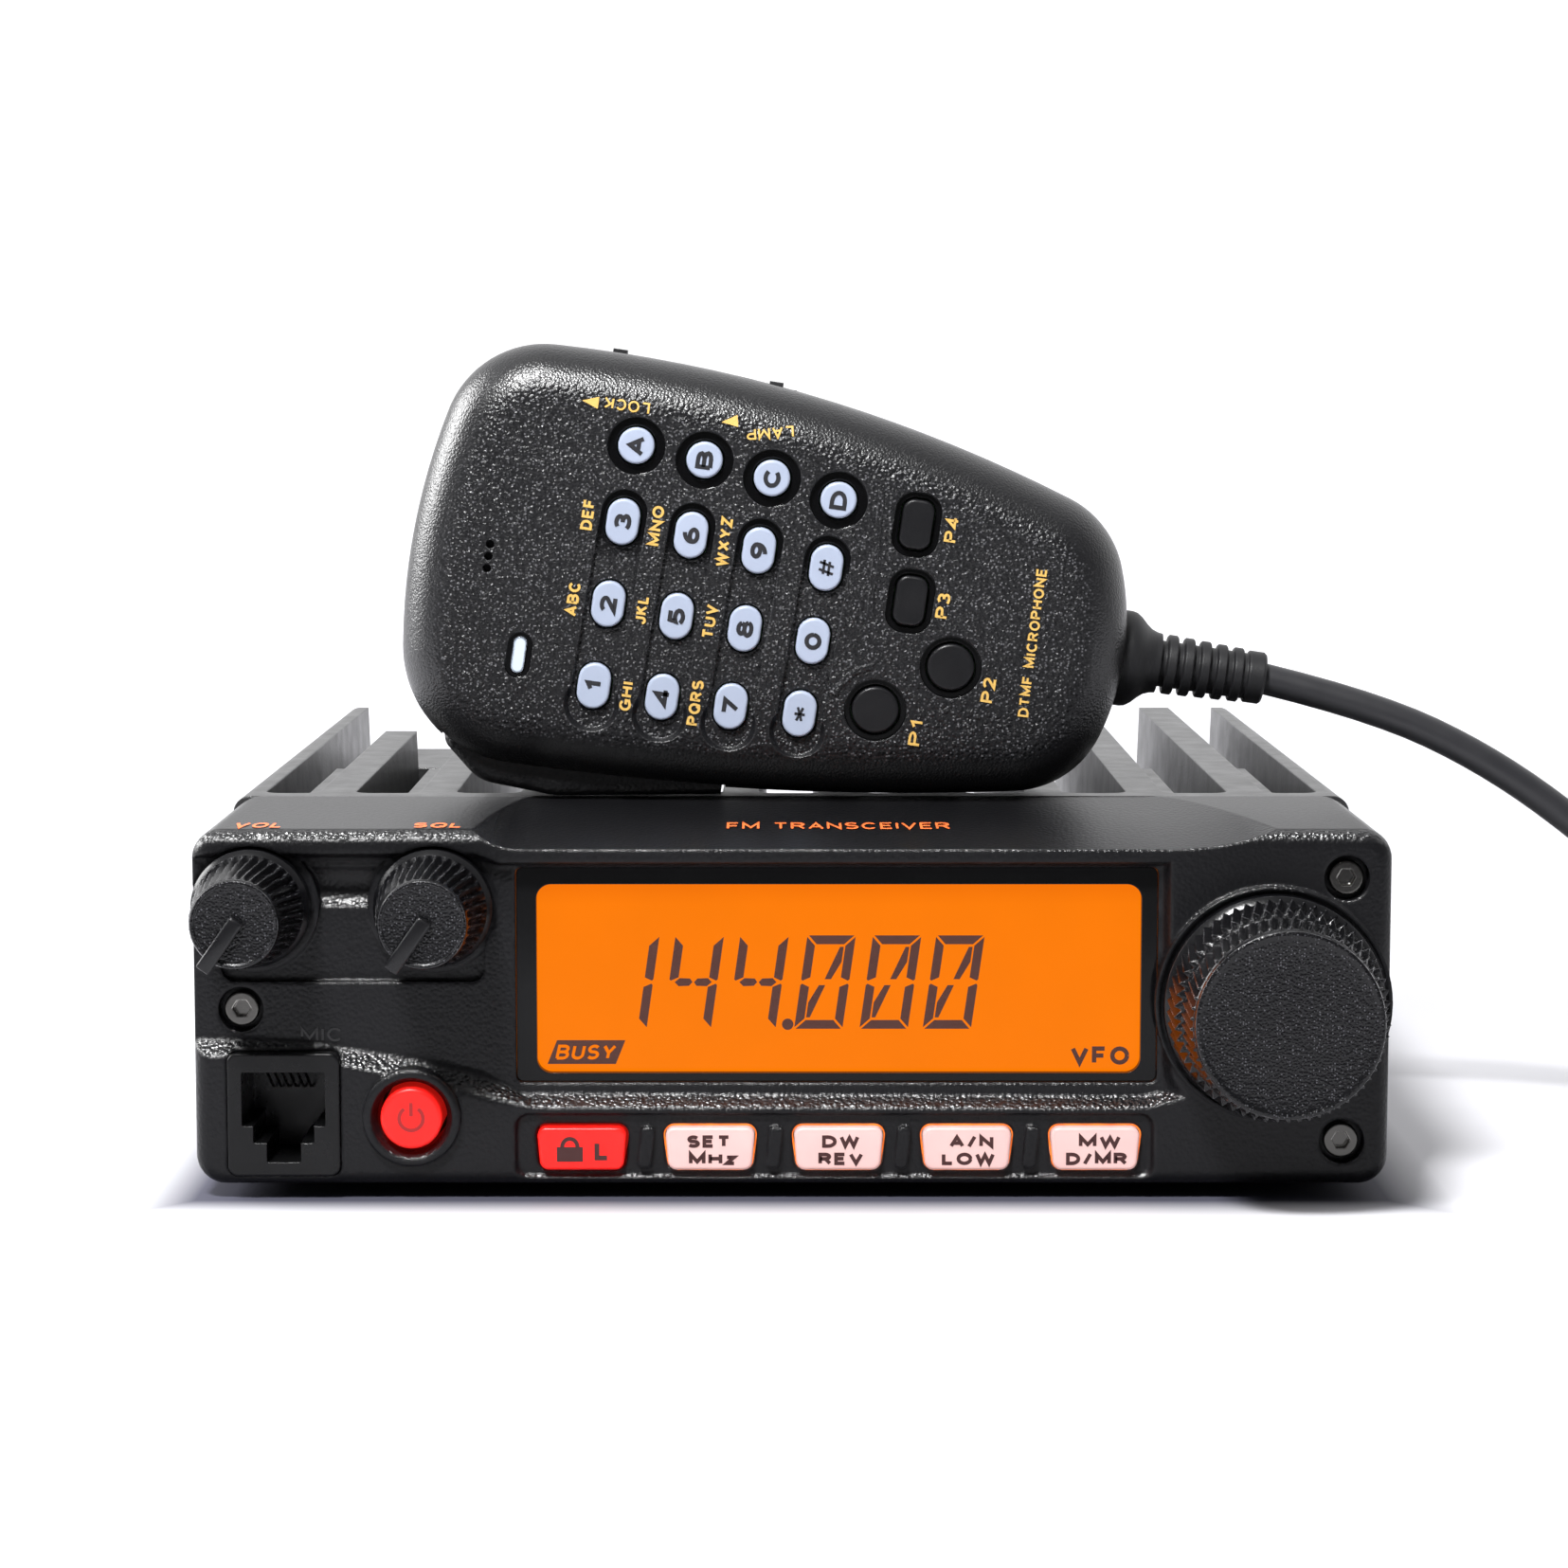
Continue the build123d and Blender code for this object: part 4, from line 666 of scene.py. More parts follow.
def ribbon(line, half):
    """Quads along a line, with mitred corners; half is half the stroke."""
    sides = []
    for index, (x, y) in enumerate(line):
        before = Vector(line[max(0, index - 1)])
        after = Vector(line[min(len(line) - 1, index + 1)])
        here = Vector((x, y))
        if line[0] == line[-1] and index in (0, len(line) - 1):
            before, after = Vector(line[-2]), Vector(line[1])
        run_in = (here - before).normalized() if here != before else (after - here).normalized()
        run_out = (after - here).normalized() if after != here else run_in
        across = Vector((-(run_in + run_out).y, (run_in + run_out).x))
        across = across.normalized() if across.length > 1e-6 else Vector((-run_in.y, run_in.x))
        reach = half / max(0.35, across.dot(Vector((-run_in.y, run_in.x))))
        sides.append((here + across * reach, here - across * reach))
    return sides


def finer(line, longest):
    """The same line with its long runs split."""
    split = [line[0]]
    for (x, y), (next_x, next_y) in zip(line, line[1:]):
        parts = max(1, round(hypot(next_x - x, next_y - y) / longest))
        split += [(x + (next_x - x) * k / parts, y + (next_y - y) * k / parts) for k in range(1, parts + 1)]
    return split


LETTER_STEP = 0.012               # crossing strokes are this far apart, in millimetres
LETTER_GAP = 0.17                 # between letters, in cap heights


def strip_faces(first, count):
    """Quads of a strip whose points come in pairs, the left one first, from a point's index."""
    return [(low + 1, low + 3, low + 2, low) for low in range(first, first + 2 * count, 2)]


def lettering(name, text, cap, matrix, width=None, weight=0.17, stretch=1.0, slant=0.0, tall=1.0):
    """Capitals centred on a frame, `cap` millimetres high, drawn with strokes of `weight` of that. They are
    fitted to a width, or stretched sideways, and can be drawn `tall` times higher, strokes and all."""
    if width is not None:
        advances = sum(ALPHABET[sign][0] + LETTER_GAP for sign in text) - LETTER_GAP
        stretch = (width / cap - len(text) * weight) / advances
    points, faces, start, height = [], [], 0.0, 0.0
    for sign in text:
        advance, strokes = ALPHABET[sign]
        for stroke in strokes:
            line = finer([(start + x * stretch, weight / 2 + y * (1 - weight)) for x, y in stroke], 0.3)
            first = len(points)
            height = LETTER_STEP - height
            for sides in ribbon(line, weight / 2):
                points += [(side.x, side.y, height) for side in sides]
            faces += strip_faces(first, len(line) - 1)
        start += (advance + LETTER_GAP) * stretch + weight
    middle = (start - LETTER_GAP * stretch - weight) / 2
    flat = [(((x - middle) + slant * (y - 0.5)) * cap, (y - 0.5) * cap * tall, z) for x, y, z in points]
    mesh = mesh_of(name, flat, faces)
    mesh.transform(matrix)
    return mesh


def flat_shape(name, outline, matrix):
    """Flat polygon that faces out of a frame, from its corners in millimetres, given either way round."""
    pairs = zip(outline, outline[1:] + outline[:1])
    turning = sum(x * next_y - next_x * y for (x, y), (next_x, next_y) in pairs)
    corners = outline if turning > 0 else outline[::-1]
    mesh = mesh_of(name, [(x, y, 0) for x, y in corners], [tuple(range(len(corners)))])
    mesh.transform(matrix)
    return mesh


LAID_CLEAR = 0.12                 # how far a mark that follows a surface stands off it


def laid(mesh, node, direction):
    """Drop a flat mesh onto a node's surface along a direction, leaving it just clear; what was higher
    stays higher."""
    data = NODES[node].data
    corners = [vertex.co.copy() for vertex in data.vertices]
    tree = BVHTree.FromPolygons(corners, [tuple(face.vertices) for face in data.polygons])
    towards = Vector(direction).normalized()
    lowest = max(vertex.co.dot(towards) for vertex in mesh.vertices)
    for vertex in mesh.vertices:
        start = vertex.co - towards * 12 * MM
        for aside in (0.0, 0.02, -0.02):          # a ray can slip through exactly on an edge
            hit = tree.ray_cast(start + Vector((aside, 0, aside)) * MM, towards, 30 * MM)[0]
            if hit is not None:
                vertex.co = hit - towards * (LAID_CLEAR * MM + lowest - vertex.co.dot(towards))
                break
    return mesh


# ---- Knobs

SAW_RISE = 0.72                   # share of a tooth that rises
KNOB_TEETH = 34
DIAL_TEETH = 58
POINTER_TURN = radians(235)


def round_knob_place(at):
    """Points of a knob that turns about the Y axis through (X, Z)."""
    def place(along, radius, angle):
        return (at[0] + radius * cos(angle), along, at[1] + radius * sin(angle))
    return place


def saw(turns):
    """Saw tooth between 0 and 1: a long rise and a short fall."""
    share = turns % 1.0
    return share / SAW_RISE if share < SAW_RISE else (1 - share) / (1 - SAW_RISE)


def knob_grip(profile, at, teeth, reach, body):
    """A turned knob with toothed rows, in place of the body's own node."""
    name = body + "_grip"
    mesh = lathe(name, profile, round_knob_place(at), teeth * 10, reach)
    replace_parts(piece(name, mesh, MATERIALS["knob_plastic"], body, smooth=32), body)


def small_knob(at, body):
    """Fluted cone on a smooth ring, with a grained face and a raised pointer."""
    front = FACE_Y - 15.1
    seat = FACE_Y + 2.1
    profile = [
        (front + 0.22, 0.0), (front + 0.22, 4.9), (front + 0.18, 5.15), (front + 0.02, 5.3), (front, 5.45),
        (front + 0.06, 5.7), (front + 0.35, 5.86), (front + 0.7, 5.9),
    ]
    flutes_at, flutes_long, flute_rows = front + 0.9, 12.3, 13
    fluted_from = len(profile)
    for row in range(flute_rows):
        share = row / (flute_rows - 1)
        profile.append((flutes_at + share * flutes_long, 6.02 + 1.42 * share ** 0.8))
    fluted_to = len(profile)
    profile += [
        (front + 13.6, 7.35), (front + 13.8, 7.2), (front + 14.2, 7.2), (front + 14.5, 7.55),
        (front + 14.9, 7.9), (front + 15.6, 8.0), (seat - 0.3, 8.0), (seat, 7.8), (seat, 0.0),
    ]

    def reach(index, along, radius, angle):
        if not fluted_from <= index < fluted_to:
            return radius
        share = (along - flutes_at) / flutes_long
        lean = 0.9 * share
        fade = min(1.0, 6 * share + 0.25, 8 * (1 - share) + 0.6)
        return radius - 0.85 * (1 - saw(angle * KNOB_TEETH / (2 * pi) + lean)) * fade

    along = (cos(POINTER_TURN), 0, sin(POINTER_TURN))
    across = (-sin(POINTER_TURN), 0, cos(POINTER_TURN))
    middle = (at[0] + 3.2 * along[0], front - 0.28, at[1] + 3.2 * along[2])
    name = body + "_pointer"
    bar = bar_mesh(name, (8.0, 2.0, 1.3), to_matrix(along, across, (0, -1, 0), middle), 0.32)
    piece(name, bar, POINTER_PLASTIC, body, smooth=32)
    knob_grip(profile, at, KNOB_TEETH, reach, body)


def main_dial():
    """Large dial: grained face with a thin rim, then two rows of saw-tooth knurling on a smooth ring."""
    front = FACE_Y - 18.0
    seat = FACE_Y - 0.5
    profile = [
        (front + 0.35, 0.0), (front + 0.3, 6.0), (front + 0.2, 11.0), (front + 0.12, 11.5), (front, 11.7),
        (front, 12.0), (front + 0.12, 12.25), (front + 0.5, 12.35), (front + 0.9, 12.35), (front + 1.1, 12.5),
    ]
    first_from = len(profile)
    profile += [(front + 1.3 + 0.7 * step, 12.95 + 0.07 * step) for step in range(9)]
    first_to = len(profile)
    profile += [(front + 7.3, 12.9), (front + 7.6, 12.9), (front + 7.8, 13.4)]
    second_from = len(profile)
    profile += [(front + 8.0 + 0.75 * step, 14.2 + 0.05 * step) for step in range(9)]
    second_to = len(profile)
    profile += [
        (front + 14.4, 14.0), (front + 14.7, 13.8), (front + 15.1, 13.8), (front + 15.4, 14.3),
        (front + 15.8, 14.7), (front + 16.4, 14.8), (seat - 0.2, 14.8), (seat, 14.6), (seat, 0.0),
    ]

    def reach(index, along, radius, angle):
        turns = angle * DIAL_TEETH / (2 * pi) + 0.14 * (along - front)
        if first_from <= index < first_to:
            return radius - 1.0 * (1 - saw(turns))
        if second_from <= index < second_to:
            return radius + 0.1 - 1.05 * (1 - saw(turns + 0.4))
        return radius

    knob_grip(profile, DIAL_AT, DIAL_TEETH, reach, "main_dial")


# ---- Display

DIGIT_W = 6.5
DIGIT_H = 12.7
STROKE = 1.2
GAP = 0.2
DIGIT_X = [-26.05, -17.4, -8.7, 0.3, 9.1, 17.6]
DIGIT_Z = 22.6
SLANT = 1.8 / DIGIT_H
POINT_AT = (-0.55, DIGIT_Z + 0.62)
POINT_R = 0.78
BADGE = [(-32.9, 17.8), (-23.7, 17.8), (-22.4, 21.05), (-31.6, 21.05)]


def digit_segments():
    """Segment outlines of a tall display digit, from its lower left corner."""
    half = DIGIT_H / 2
    right, high = DIGIT_W - STROKE - GAP, DIGIT_H - STROKE
    middle = DIGIT_W / 2 - 0.1
    upper = [
        (0, DIGIT_H - GAP), (STROKE, high - GAP), (STROKE, half + GAP + 0.45), (0.2, half + GAP),
        (0, half + GAP + 0.2),
    ]
    top = [(GAP, DIGIT_H), (DIGIT_W - GAP, DIGIT_H), (right, high), (STROKE + GAP, high)]
    lens = [
        (0.75, half), (1.35, half + 0.55), (middle - 0.4, half + 0.5), (middle, half),
        (middle - 0.4, half - 0.5), (1.35, half - 0.55),
    ]
    slash = [
        (middle, half + 0.4), (middle + 0.85, half + 0.4), (right, high - 2.4), (right, high - 0.35),
        (right - 0.5, high - 0.35),
    ]

    def across(shape):
        return [(DIGIT_W - x, y) for x, y in reversed(shape)]

    def over(shape):
        return [(x, DIGIT_H - y) for x, y in reversed(shape)]

    return {
        "upper_left": upper, "upper_right": across(upper),
        "lower_left": over(upper), "lower_right": across(over(upper)),
        "top": top, "bottom": over(top),
        "lens_left": lens, "lens_right": across(lens),
        "slash_up": slash, "slash_down": over(across(slash)),
    }


DIGITS = {
    "1": ["upper_right", "lower_right"],
    "4": ["upper_left", "upper_right", "lower_right", "lens_left", "lens_right"],
    "0": ["top", "bottom", "upper_left", "lower_left", "upper_right", "lower_right",
          "slash_up", "slash_down"],
}


def display_digits():
    """The frequency, its point, and the two small words on the display."""
    segments = digit_segments()
    front = LCD_Y - 0.05
    place = on_front(0, 0, front)
    meshes = []
    for start, digit in zip(DIGIT_X, "144000"):
        for segment in DIGITS[digit]:
            outline = [(start + x + y * SLANT, DIGIT_Z + y) for x, y in segments[segment]]
            meshes.append(flat_shape("segment", outline, place))
    meshes.append(flat_shape("point", arc(*POINT_AT, POINT_R, POINT_R, 0, 337.5, 15), place))
    meshes.append(flat_shape("badge", BADGE, place))
    meshes.append(lettering("word", "VFO", 2.5, on_front(41.5, 18.95, front), width=7.9, weight=0.24))
    name = "display_segments"
    piece(name, joined(name, meshes), SEGMENT_INK, "radio")
    name = "display_badge_word"
    place = on_front(-27.7, 19.43, front - 0.05)
    word = lettering(name, "BUSY", 2.05, place, width=7.9, weight=0.2, slant=0.22)
    piece(name, word, MATERIALS["amber_display"], "radio")


# ---- Marks on the radio

DECK_WORDS = [                    # text, middle, width, stroke weight and how tall it is drawn
    ("VOL", (-71.4, -87.5), 6.6, 0.22, 2.7),
    ("SQL", (-47.4, -87.5), 6.6, 0.22, 2.7),
    ("FM TRANSCEIVER", (6.4, -75.5), 30.6, 0.17, 2.5),
]
BUTTON_LINES = {                  # text, width and shift to the right, upper line then lower
    "set_button": [("SET", 5.8, -0.2), ("MHz", 6.3, 0.3)],
    "watch_button": [("DW", 5.0, 0.3), ("REV", 6.0, 0.3)],
    "name_button": [("A/N", 5.9, 0.6), ("LOW", 7.1, 0.2)],
    "memory_button": [("MW", 5.6, 0.6), ("D/MR", 8.2, 0.2)],
}
LINE_Z = (8.15, 5.8)


def panel_marks():
    """Names beside the controls; the maker's and the model's names are left off."""
    meshes = []
    for text, at, width, weight, tall in DECK_WORDS:
        word = lettering("word", text, 2.0, on_deck(*at), width=width, weight=weight, tall=tall)
        meshes.append(laid(word, "front_panel", (0, 0, -1)))
    piece("panel_words", joined("panel_words", meshes), ORANGE_INK, "radio")
    word = lettering("socket_word", "MIC", 1.9, on_front(-63.0, 22.2), width=5.6)
    piece("socket_word", laid(word, "front_panel", (0, 1, 0)), GLOSS_INK, "radio")


def bow(centre, outer, inner, start, end, steps, place):
    """Flat shapes that fill a bow between two ellipses, from one angle in degrees to another."""
    shapes = []
    for step in range(steps):
        low, high = (start + (end - start) * (step + far) / steps for far in (0, 1))
        edge = arc(*centre, *outer, low, high, 1) + arc(*centre, *inner, high, low, 1)
        shapes.append(flat_shape("bow", edge, place))
    return shapes


def power_symbol():
    """Broken ring with a stroke through its gap."""
    place = on_front(*POWER_AT, POWER_FRONT - 0.03)
    shapes = bow((0, 0), (1.85, 1.85), (1.35, 1.35), 125, 415, 20, place)
    shapes.append(flat_shape("stroke", [(-0.24, 0.3), (0.24, 0.3), (0.24, 2.15), (-0.24, 2.15)], place))
    piece("power_symbol", joined("power_symbol", shapes), RED_INK, "power_button")


def padlock(x, z, y):
    """Closed padlock, 3.4 mm tall, as a few flat shapes."""
    place = on_front(x, z, y)
    body = flat_shape("lock", [(-1.75, -1.7), (1.75, -1.7), (1.75, 0.3), (-1.75, 0.3)], place)
    return [body] + bow((0, 0.3), (1.3, 1.4), (0.75, 0.85), 0, 180, 12, place)


def button_marks():
    """Two-line names on the lit buttons, and a padlock with an L on the red one."""
    front = FACE_Y - 0.53
    for button, x in zip(BUTTONS[1:], BUTTON_X[1:]):
        meshes = [
            lettering("line", text, 1.7, on_front(x + shift, z, front), width=width, weight=0.29)
            for (text, width, shift), z in zip(BUTTON_LINES[button], LINE_Z)
        ]
        name = button + "_name"
        piece(name, joined(name, meshes), BUTTON_INK, button)
    x = BUTTON_X[0]
    letter = lettering("letter", "L", 2.6, on_front(x + 2.7, 6.9, front), width=2.0, weight=0.25)
    mesh = joined("lock_button_name", [letter] + padlock(x - 1.6, 7.1, front))
    piece("lock_button_name", mesh, BUTTON_INK, "lock_button")


def button_outline(middle, grow):
    """Rounded outline of a push button's hole, grown by some millimetres."""
    foot, top = BUTTON_HALF[0] + grow, BUTTON_HALF[1] + grow
    low, high = BUTTON_Z[0] - grow, BUTTON_Z[1] + grow
    corner = 1.2 + grow
    outline = []
    for x, z, start in (
        (foot - corner, low + corner, -90), (top - corner, high - corner, 0),
        (-top + corner, high - corner, 90), (-foot + corner, low + corner, 180),
    ):
        outline += arc(middle + x, z, corner, corner, start, start + 90, 4)
    return outline


def button_glow():
    """Thin lit line in the gap round each lit button."""
    for button, middle in zip(BUTTONS[1:], BUTTON_X[1:]):
        rings = [button_outline(middle, grow) for grow in (0.02, 0.26)]
        points = [(x, FACE_Y + 0.95, z) for ring in rings for x, z in ring]
        mesh = mesh_of(button + "_glow", points, ring_faces(2, len(rings[0])))
        piece(button + "_glow", mesh, GLOW, "radio")


CONTACTS = 6
CONTACT_PITCH = 1.02
CONTACT_R = 0.2
CONTACT_SIDES = 6
SOCKET_X = (-75.5, -60.4)


def socket_contacts():
    """Six sprung wires that slope down from the roof of the microphone socket."""
    path = [(1.6, 17.2), (3.0, 16.9), (6.0, 15.4), (9.0, 13.9), (11.8, 13.4)]    # depth and height
    wires = []
    for wire in range(CONTACTS):
        x = sum(SOCKET_X) / 2 + CONTACT_PITCH * (wire - (CONTACTS - 1) / 2)
        points = []
        for depth, z in path:
            ring = arc(x, z, CONTACT_R, CONTACT_R, 0, 360, CONTACT_SIDES)[:-1]
            points += [(ring_x, FACE_Y + depth, ring_z) for ring_x, ring_z in ring]
        wires.append(mesh_of("wire", points, ring_faces(len(path), CONTACT_SIDES)))
    piece("socket_contacts", joined("socket_contacts", wires), CONTACT_METAL, "radio", smooth=60)


# ---- Marks on the microphone

KEY_TURN = radians(1.9)
KEYS = {
    "key_1": (0, 0), "key_2": (0, 1), "key_3": (0, 2), "key_a": (0, 3),
    "key_4": (1, 0), "key_5": (1, 1), "key_6": (1, 2), "key_b": (1, 3),
    "key_7": (2, 0), "key_8": (2, 1), "key_9": (2, 2), "key_c": (2, 3),
    "key_star": (3, 0), "key_0": (3, 1), "key_hash": (3, 2), "key_d": (3, 3),
}
KEY_SIGNS = {"key_star": "*", "key_hash": "#"}
KEY_PROUD = 0.2                   # how far a key's top stands out of the case
GROUP_OFF = 5.0                   # from a key's middle to its letters
LETTER_GROUPS = {                 # letters, their width and how far they stand aside of the key's middle
    "key_2": ("ABC", 4.8, 0.0), "key_3": ("DEF", 4.3, -0.3), "key_4": ("GHI", 4.1, 0.6),
    "key_5": ("JKL", 4.0, -0.2), "key_6": ("MNO", 5.6, -0.6), "key_7": ("PQRS", 6.4, 0.2),
    "key_8": ("TUV", 4.8, -0.3), "key_9": ("WXYZ", 6.9, -0.5),
}
P_KEYS = {"P4": (27.4, -15.1), "P3": (27.0, -4.4), "P2": (18.9, 6.4), "P1": (28.1, 13.9)}


def key_place(column, row):
    """Middle of a key in the microphone's axes, as in the model."""
    narrow = 1 - 0.012 * column ** 2
    across = (11.7 * (row - 1) if row < 3 else 22.5) * narrow
    along = -9.72 * column
    x = 73.45 + along * cos(KEY_TURN) - across * sin(KEY_TURN)
    y = 2.2 - across * cos(KEY_TURN) - along * sin(KEY_TURN)
    return x, y


def key_marks():
    """A digit, letter or sign on each key."""
    for node, (column, row) in KEYS.items():
        sign = KEY_SIGNS.get(node, node[-1].upper())
        place = on_keypad(*key_place(column, row))
        place.translation += MIC_Z * KEY_PROUD * MM
        weight = 0.15 if sign in "*#" else 0.25
        name = node + "_sign"
        mesh = lettering(name, sign, 2.4, place, weight=weight, stretch=1.25)
        piece(name, mesh, DARK_INK, node)


def arrow_head(matrix):
    """Filled triangle pointing along its frame's x, in strips so that it can follow a curve."""
    strips, length, half = 6, 2.3, 0.85
    points = []
    for step in range(strips + 1):
        share = step / strips
        points += [(length * (share - 0.5), side * half * (1 - share), 0) for side in (1, -1)]
    mesh = mesh_of("arrow", points, strip_faces(0, strips))
    mesh.transform(matrix)
    return mesh


def case_marks():
    """Letter groups, names of the programmable keys and the slides, in gold."""
    meshes = []
    for node, (text, width, shift) in LETTER_GROUPS.items():
        x, y = key_place(*KEYS[node])
        place = on_keypad(x + GROUP_OFF, y + shift)
        meshes.append(lettering("group", text, 1.65, place, width=width, weight=0.22))
    for text, at in P_KEYS.items():
        meshes.append(lettering("name", text, 1.8, on_keypad(*at), width=3.5, weight=0.2))
    place = on_keypad(13.8, -1.1, 1.4)
    meshes.append(lettering("kind", "DTMF MICROPHONE", 1.5, place, width=21.0, weight=0.2))
    meshes.append(lettering("slide", "LOCK", 1.6, beside_slide(74.8, -25.6), width=6.4))
    meshes.append(lettering("slide", "LAMP", 1.6, beside_slide(54.5, -24.75, 12), width=6.6))
    meshes += [arrow_head(beside_slide(79.9, -25.4)), arrow_head(beside_slide(60.3, -25.5, 12))]
    whole = laid(joined("case_words", meshes), "mic_front_case", (0, 1, 0))
    piece("case_words", whole, GOLD_INK, "microphone")


# ---- Strain relief and cord

RELIEF_L = 20.9
BELL_END = -5.6
RIBS = 5
RIB_PITCH = 2.4


def strain_relief():
    """Rubber sleeve: a bell, five ribs and an end collar."""
    profile = [
        (3.0, 0.0), (3.0, 6.88), (-0.9, 6.9), (-1.6, 6.75), (-2.4, 6.2), (-3.2, 5.4), (-4.0, 4.75),
        (-4.9, 4.4), (BELL_END, 4.3),
    ]
    for rib in range(RIBS):
        start = BELL_END - RIB_PITCH * rib
        radius = 4.3 - 0.1 * rib
        profile += [
            (start - 0.02, 3.35), (start - 0.88, 3.3), (start - 0.92, radius - 0.22),
            (start - 1.12, radius), (start - 2.2, radius), (start - 2.38, radius - 0.2),
        ]
    start = BELL_END - RIB_PITCH * RIBS
    profile += [
        (start - 0.02, 3.3), (start - 0.68, 3.3), (start - 0.72, 3.6), (start - 0.9, 3.75),
        (-RELIEF_L + 0.35, 3.75), (-RELIEF_L, 3.45), (-RELIEF_L, 0.0),
    ]

    def place(along, radius, angle):
        return mic_point(along, radius * cos(angle), radius * sin(angle))

    name = "strain_relief_sleeve"
    mesh = lathe(name, profile, place, 96)
    made = piece(name, mesh, MATERIALS["black_rubber"], "microphone", smooth=38)
    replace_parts(made, "strain_relief")
    return made


COIL_AT = (160.0, -22.5)
COIL_LAYERS = (2.3, 6.87, 11.44)  # heights of the turns' middles
INNER_TURN, OUTER_TURN, WELL_TURN = 22.6, 27.4, 17.4
COIL_TOP = 16.35                  # height of the lead where it crosses the turns


def eased(share):
    """A share held between 0 and 1 that starts and stops gently."""
    share = min(1.0, max(0.0, share))
    return share * share * (3 - 2 * share)


def coil_radius_and_height(angle):
    """Where the wound cord lies at an angle in degrees, which runs on from turn to turn."""
    low, middle, high = COIL_LAYERS
    moves = [                     # (from angle, over, new radius, new height)
        (-98, 75, WELL_TURN, COIL_TOP), (0, 225, WELL_TURN, low), (235, 45, INNER_TURN, low),
        (595, 45, OUTER_TURN, low), (910, 45, OUTER_TURN, middle), (1225, 45, INNER_TURN, middle),
        (1540, 45, INNER_TURN, high), (1855, 45, OUTER_TURN, high), (2160, 60, 25.3, 17.3),
    ]
    radius, height = 27.7, COIL_TOP
    for start, over, new_radius, new_height in moves:
        share = eased((angle - start) / over)
        radius += share * (new_radius - radius)
        height += share * (new_height - height)
    return radius, height


def cord_points():
    """Control points of the whole cord, from the strain relief to the plug."""
    points = [
        tuple(mic_point(-RELIEF_L, 0)), (84.0, -46.5, 62.6), (101.0, -46.5, 54.6), (117.0, -46.0, 43.0),
        (130.0, -46.3, 30.5), (143.0, -47.1, 20.8),
    ]
    for angle in range(-98, 2225, 15):
        radius, height = coil_radius_and_height(angle)
        turn = radians(angle)
        points.append((COIL_AT[0] + radius * cos(turn), COIL_AT[1] + radius * sin(turn), height))
    points.append((COIL_AT[0] + 8.4, COIL_AT[1] + 25.0, 17.3))
    return points


def drawn(curve_object):
    """The mesh that a curve object shows."""
    bpy.context.view_layer.update()
    graph = bpy.context.evaluated_depsgraph_get()
    return bpy.data.meshes.new_from_object(curve_object.evaluated_get(graph))


def cord():
    """The cord as a tube along one smooth line, and that line's points; its coil lies on the ground."""
    points = cord_points()
    curve = bpy.data.curves.new("cord_line", "CURVE")
    curve.dimensions = "3D"
    spline = curve.splines.new("NURBS")
    spline.points.add(len(points) - 1)
    for point, place in zip(spline.points, points):
        point.co = (place[0] * MM, place[1] * MM, place[2] * MM, 1)
    spline.order_u = 3
    spline.use_endpoint_u = True
    spline.resolution_u = 6
    line = added("cord_line", curve)
    path = [tuple(vertex.co) for vertex in drawn(line).vertices]
    curve.bevel_depth = CORD_D / 2 * MM
    curve.bevel_resolution = 6
    curve.use_fill_caps = True
    mesh = drawn(line)
    bpy.data.objects.remove(line)
    made = dressed("cord", mesh, MATERIALS["cord_rubber"])
    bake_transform(made)
    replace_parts(made, "cord_lead", "cord_coil")
    return made, path


# ---- Camera, light and ground

def camera():
    """Camera in front of the radio, looking down a little."""
    data = bpy.data.cameras.new("camera")
    data.lens = 88.0
    data.sensor_width = 36.0
    data.clip_start = 0.01
    made = added("camera", data)
    made.location = (-0.00105, -0.5975, 0.11106)
    made.rotation_euler = (radians(90 - 6.2), 0, 0)
    bpy.context.scene.camera = made


def sky():
    """White studio: brightest behind the radio, dim on the viewer's side."""
    world = bpy.data.worlds.new("studio")
    bpy.context.scene.world = world
    world.use_nodes = True
    tree = world.node_tree
    place = tree.nodes.new("ShaderNodeTexCoord")
    split = tree.nodes.new("ShaderNodeSeparateXYZ")
    tree.links.new(place.outputs["Generated"], split.inputs[0])
    fade = tree.nodes.new("ShaderNodeMapRange")
    fade.interpolation_type = "SMOOTHSTEP"
    for socket, value in (("From Min", -0.7), ("From Max", 0.7), ("To Min", 0.13), ("To Max", 1.2)):
        fade.inputs[socket].default_value = value
    tree.links.new(split.outputs["Y"], fade.inputs["Value"])
    tree.links.new(fade.outputs["Result"], tree.nodes["Background"].inputs["Strength"])
    tree.nodes["Background"].inputs["Color"].default_value = (1.0, 1.0, 1.01, 1)


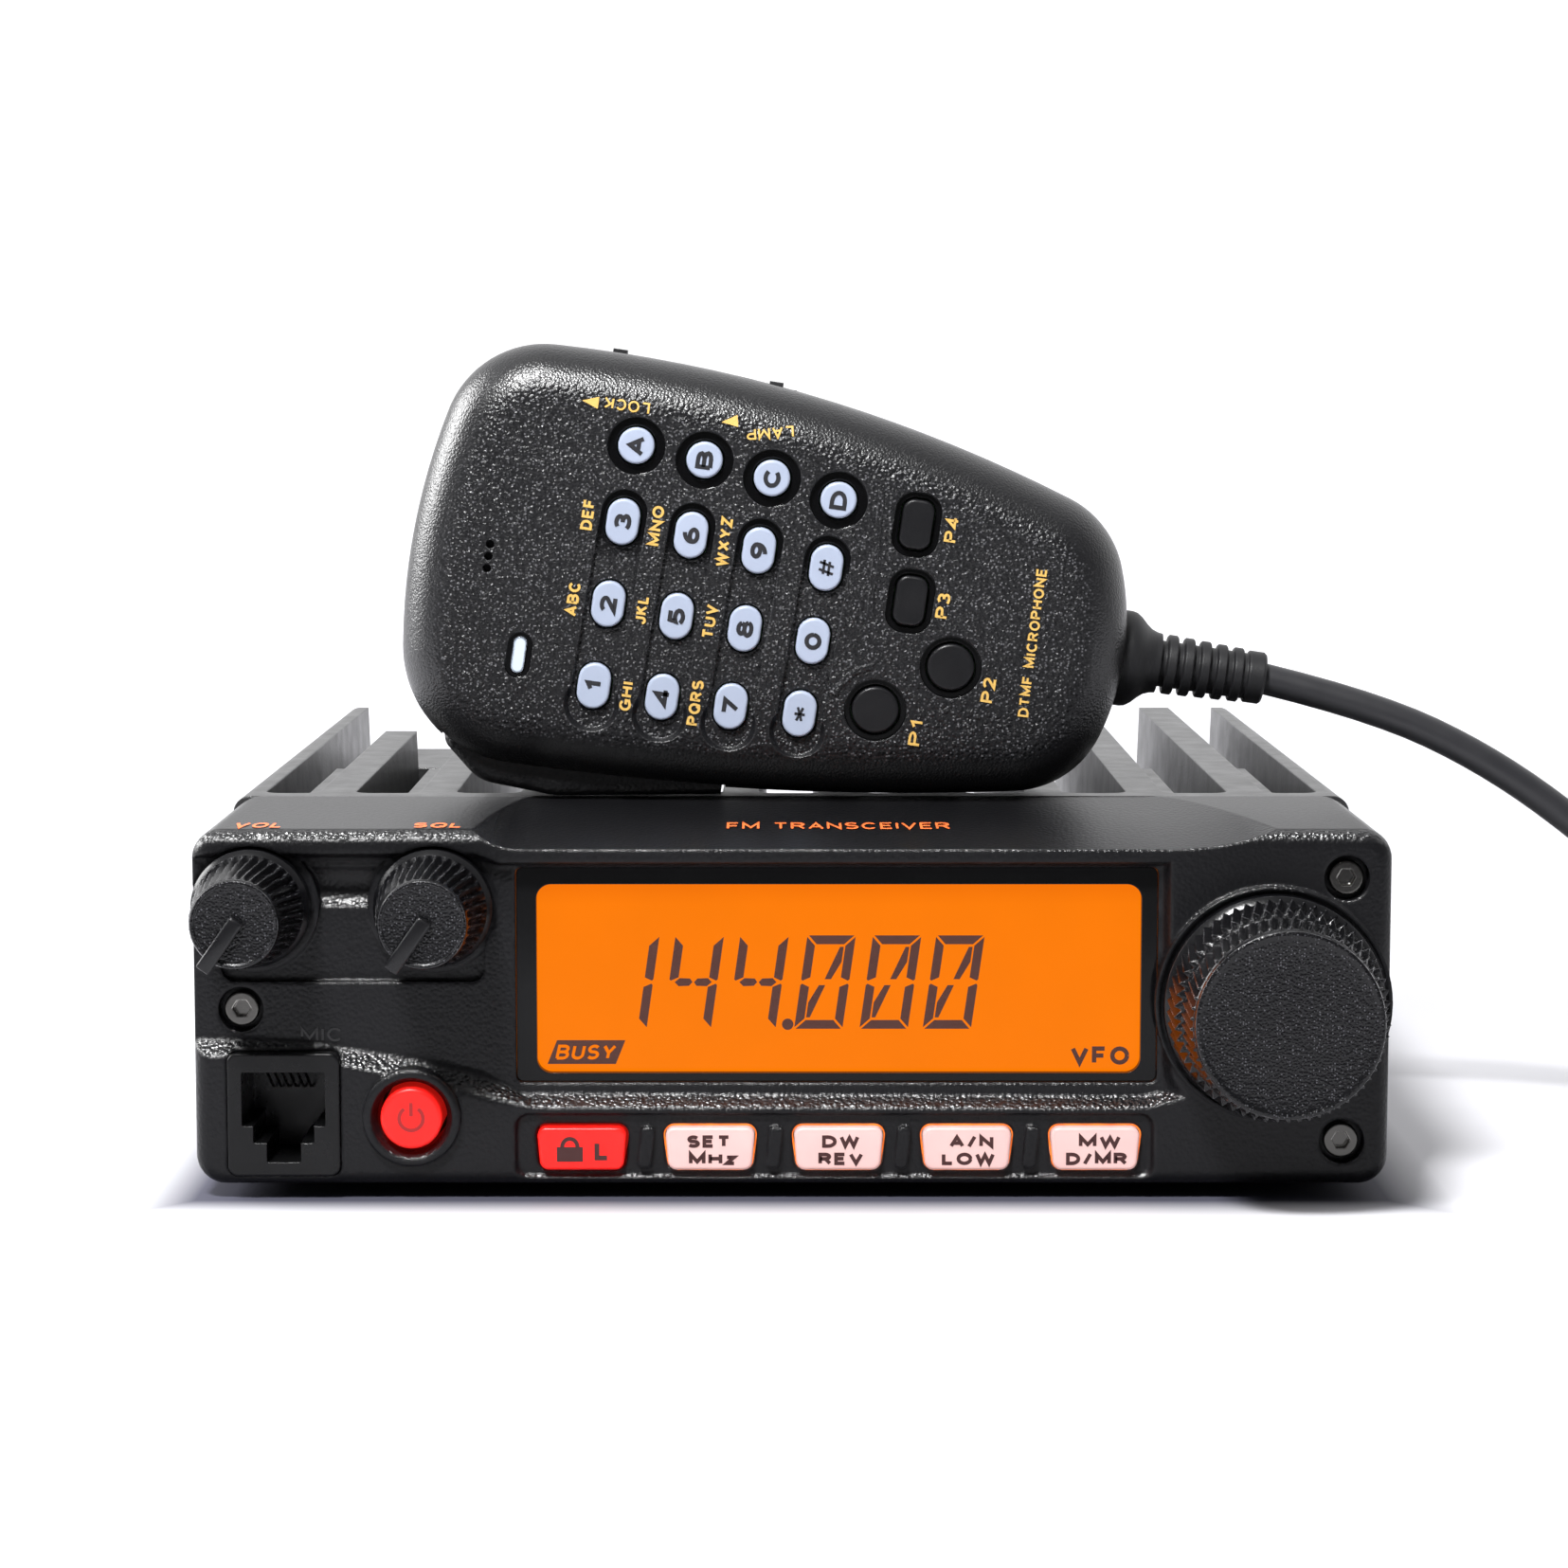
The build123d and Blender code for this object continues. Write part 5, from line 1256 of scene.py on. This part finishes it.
def softbox(name, place, target, size, power):
    """Soft rectangular light at a place, facing a target."""
    data = bpy.data.lights.new(name, "AREA")
    data.shape = "RECTANGLE"
    data.size, data.size_y = size
    data.energy = power
    made = added(name, data)
    made.location = place
    made.rotation_euler = (Vector(target) - Vector(place)).to_track_quat("-Z", "Y").to_euler()


def ground():
    """Glowing white sweep with a painted shadow, darker and unlit, under the radio, and dark well in front of
    it.
    """
    points = [(-6000, -3000, 0), (6000, -3000, 0), (6000, 9000, 0), (-6000, 9000, 0)]
    mesh = mesh_of("ground", points, [(0, 1, 2, 3)])
    shade = Shade("ground")
    right, back = shade.along((1, 0, 0)), shade.along((0, 1, 0))
    beside = shade.maths("SUBTRACT", shade.maths("ABSOLUTE", right), 80.0)
    beyond = shade.maths("SUBTRACT", shade.maths("ABSOLUTE", shade.maths("SUBTRACT", back, 2.5)), 95.0)
    clear = shade.ranged(shade.maths("MAXIMUM", beside, beyond), 0.0, 9.0)
    near = shade.ranged(back, -360.0, -255.0)
    glow = shade.ranged(back, 120.0, 900.0, 0.14, 0.8)
    pale = shade.mixed(shade.noise(40.0), grey(184, 4), grey(188, 4))
    # Painted shadow: under the radio's footprint the floor is darker blue-grey and does not glow.
    floor = shade.mixed(near, grey(96, 2), shade.mixed(clear, grey(70, 12), pale))
    shade.set(Base_Color=floor, Emission_Color=srgb(252, 251, 255))
    shade.set(Emission_Strength=shade.times(shade.times(clear, near), glow))
    shade.set(Roughness=0.7, Specular_IOR_Level=0.2)
    dressed("ground", mesh, shade)


camera()
sky()
ground()
softbox("key_light", (-0.2, -0.6, 0.75), (0.0, -0.05, 0.05), (0.18, 0.14), 18.0)
softbox("left_light", (-0.9, 0.15, 0.45), (-0.05, -0.05, 0.08), (0.5, 0.5), 14.0)
bpy.context.scene.view_settings.view_transform = "Standard"

tube, tube_path = cord()
dress_nodes()
small_knob(VOLUME_AT, "volume_knob")
small_knob(SQUELCH_AT, "squelch_knob")
main_dial()
display_digits()
panel_marks()
power_symbol()
button_marks()
button_glow()
socket_contacts()
key_marks()
case_marks()
relief = strain_relief()

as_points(tube_path)
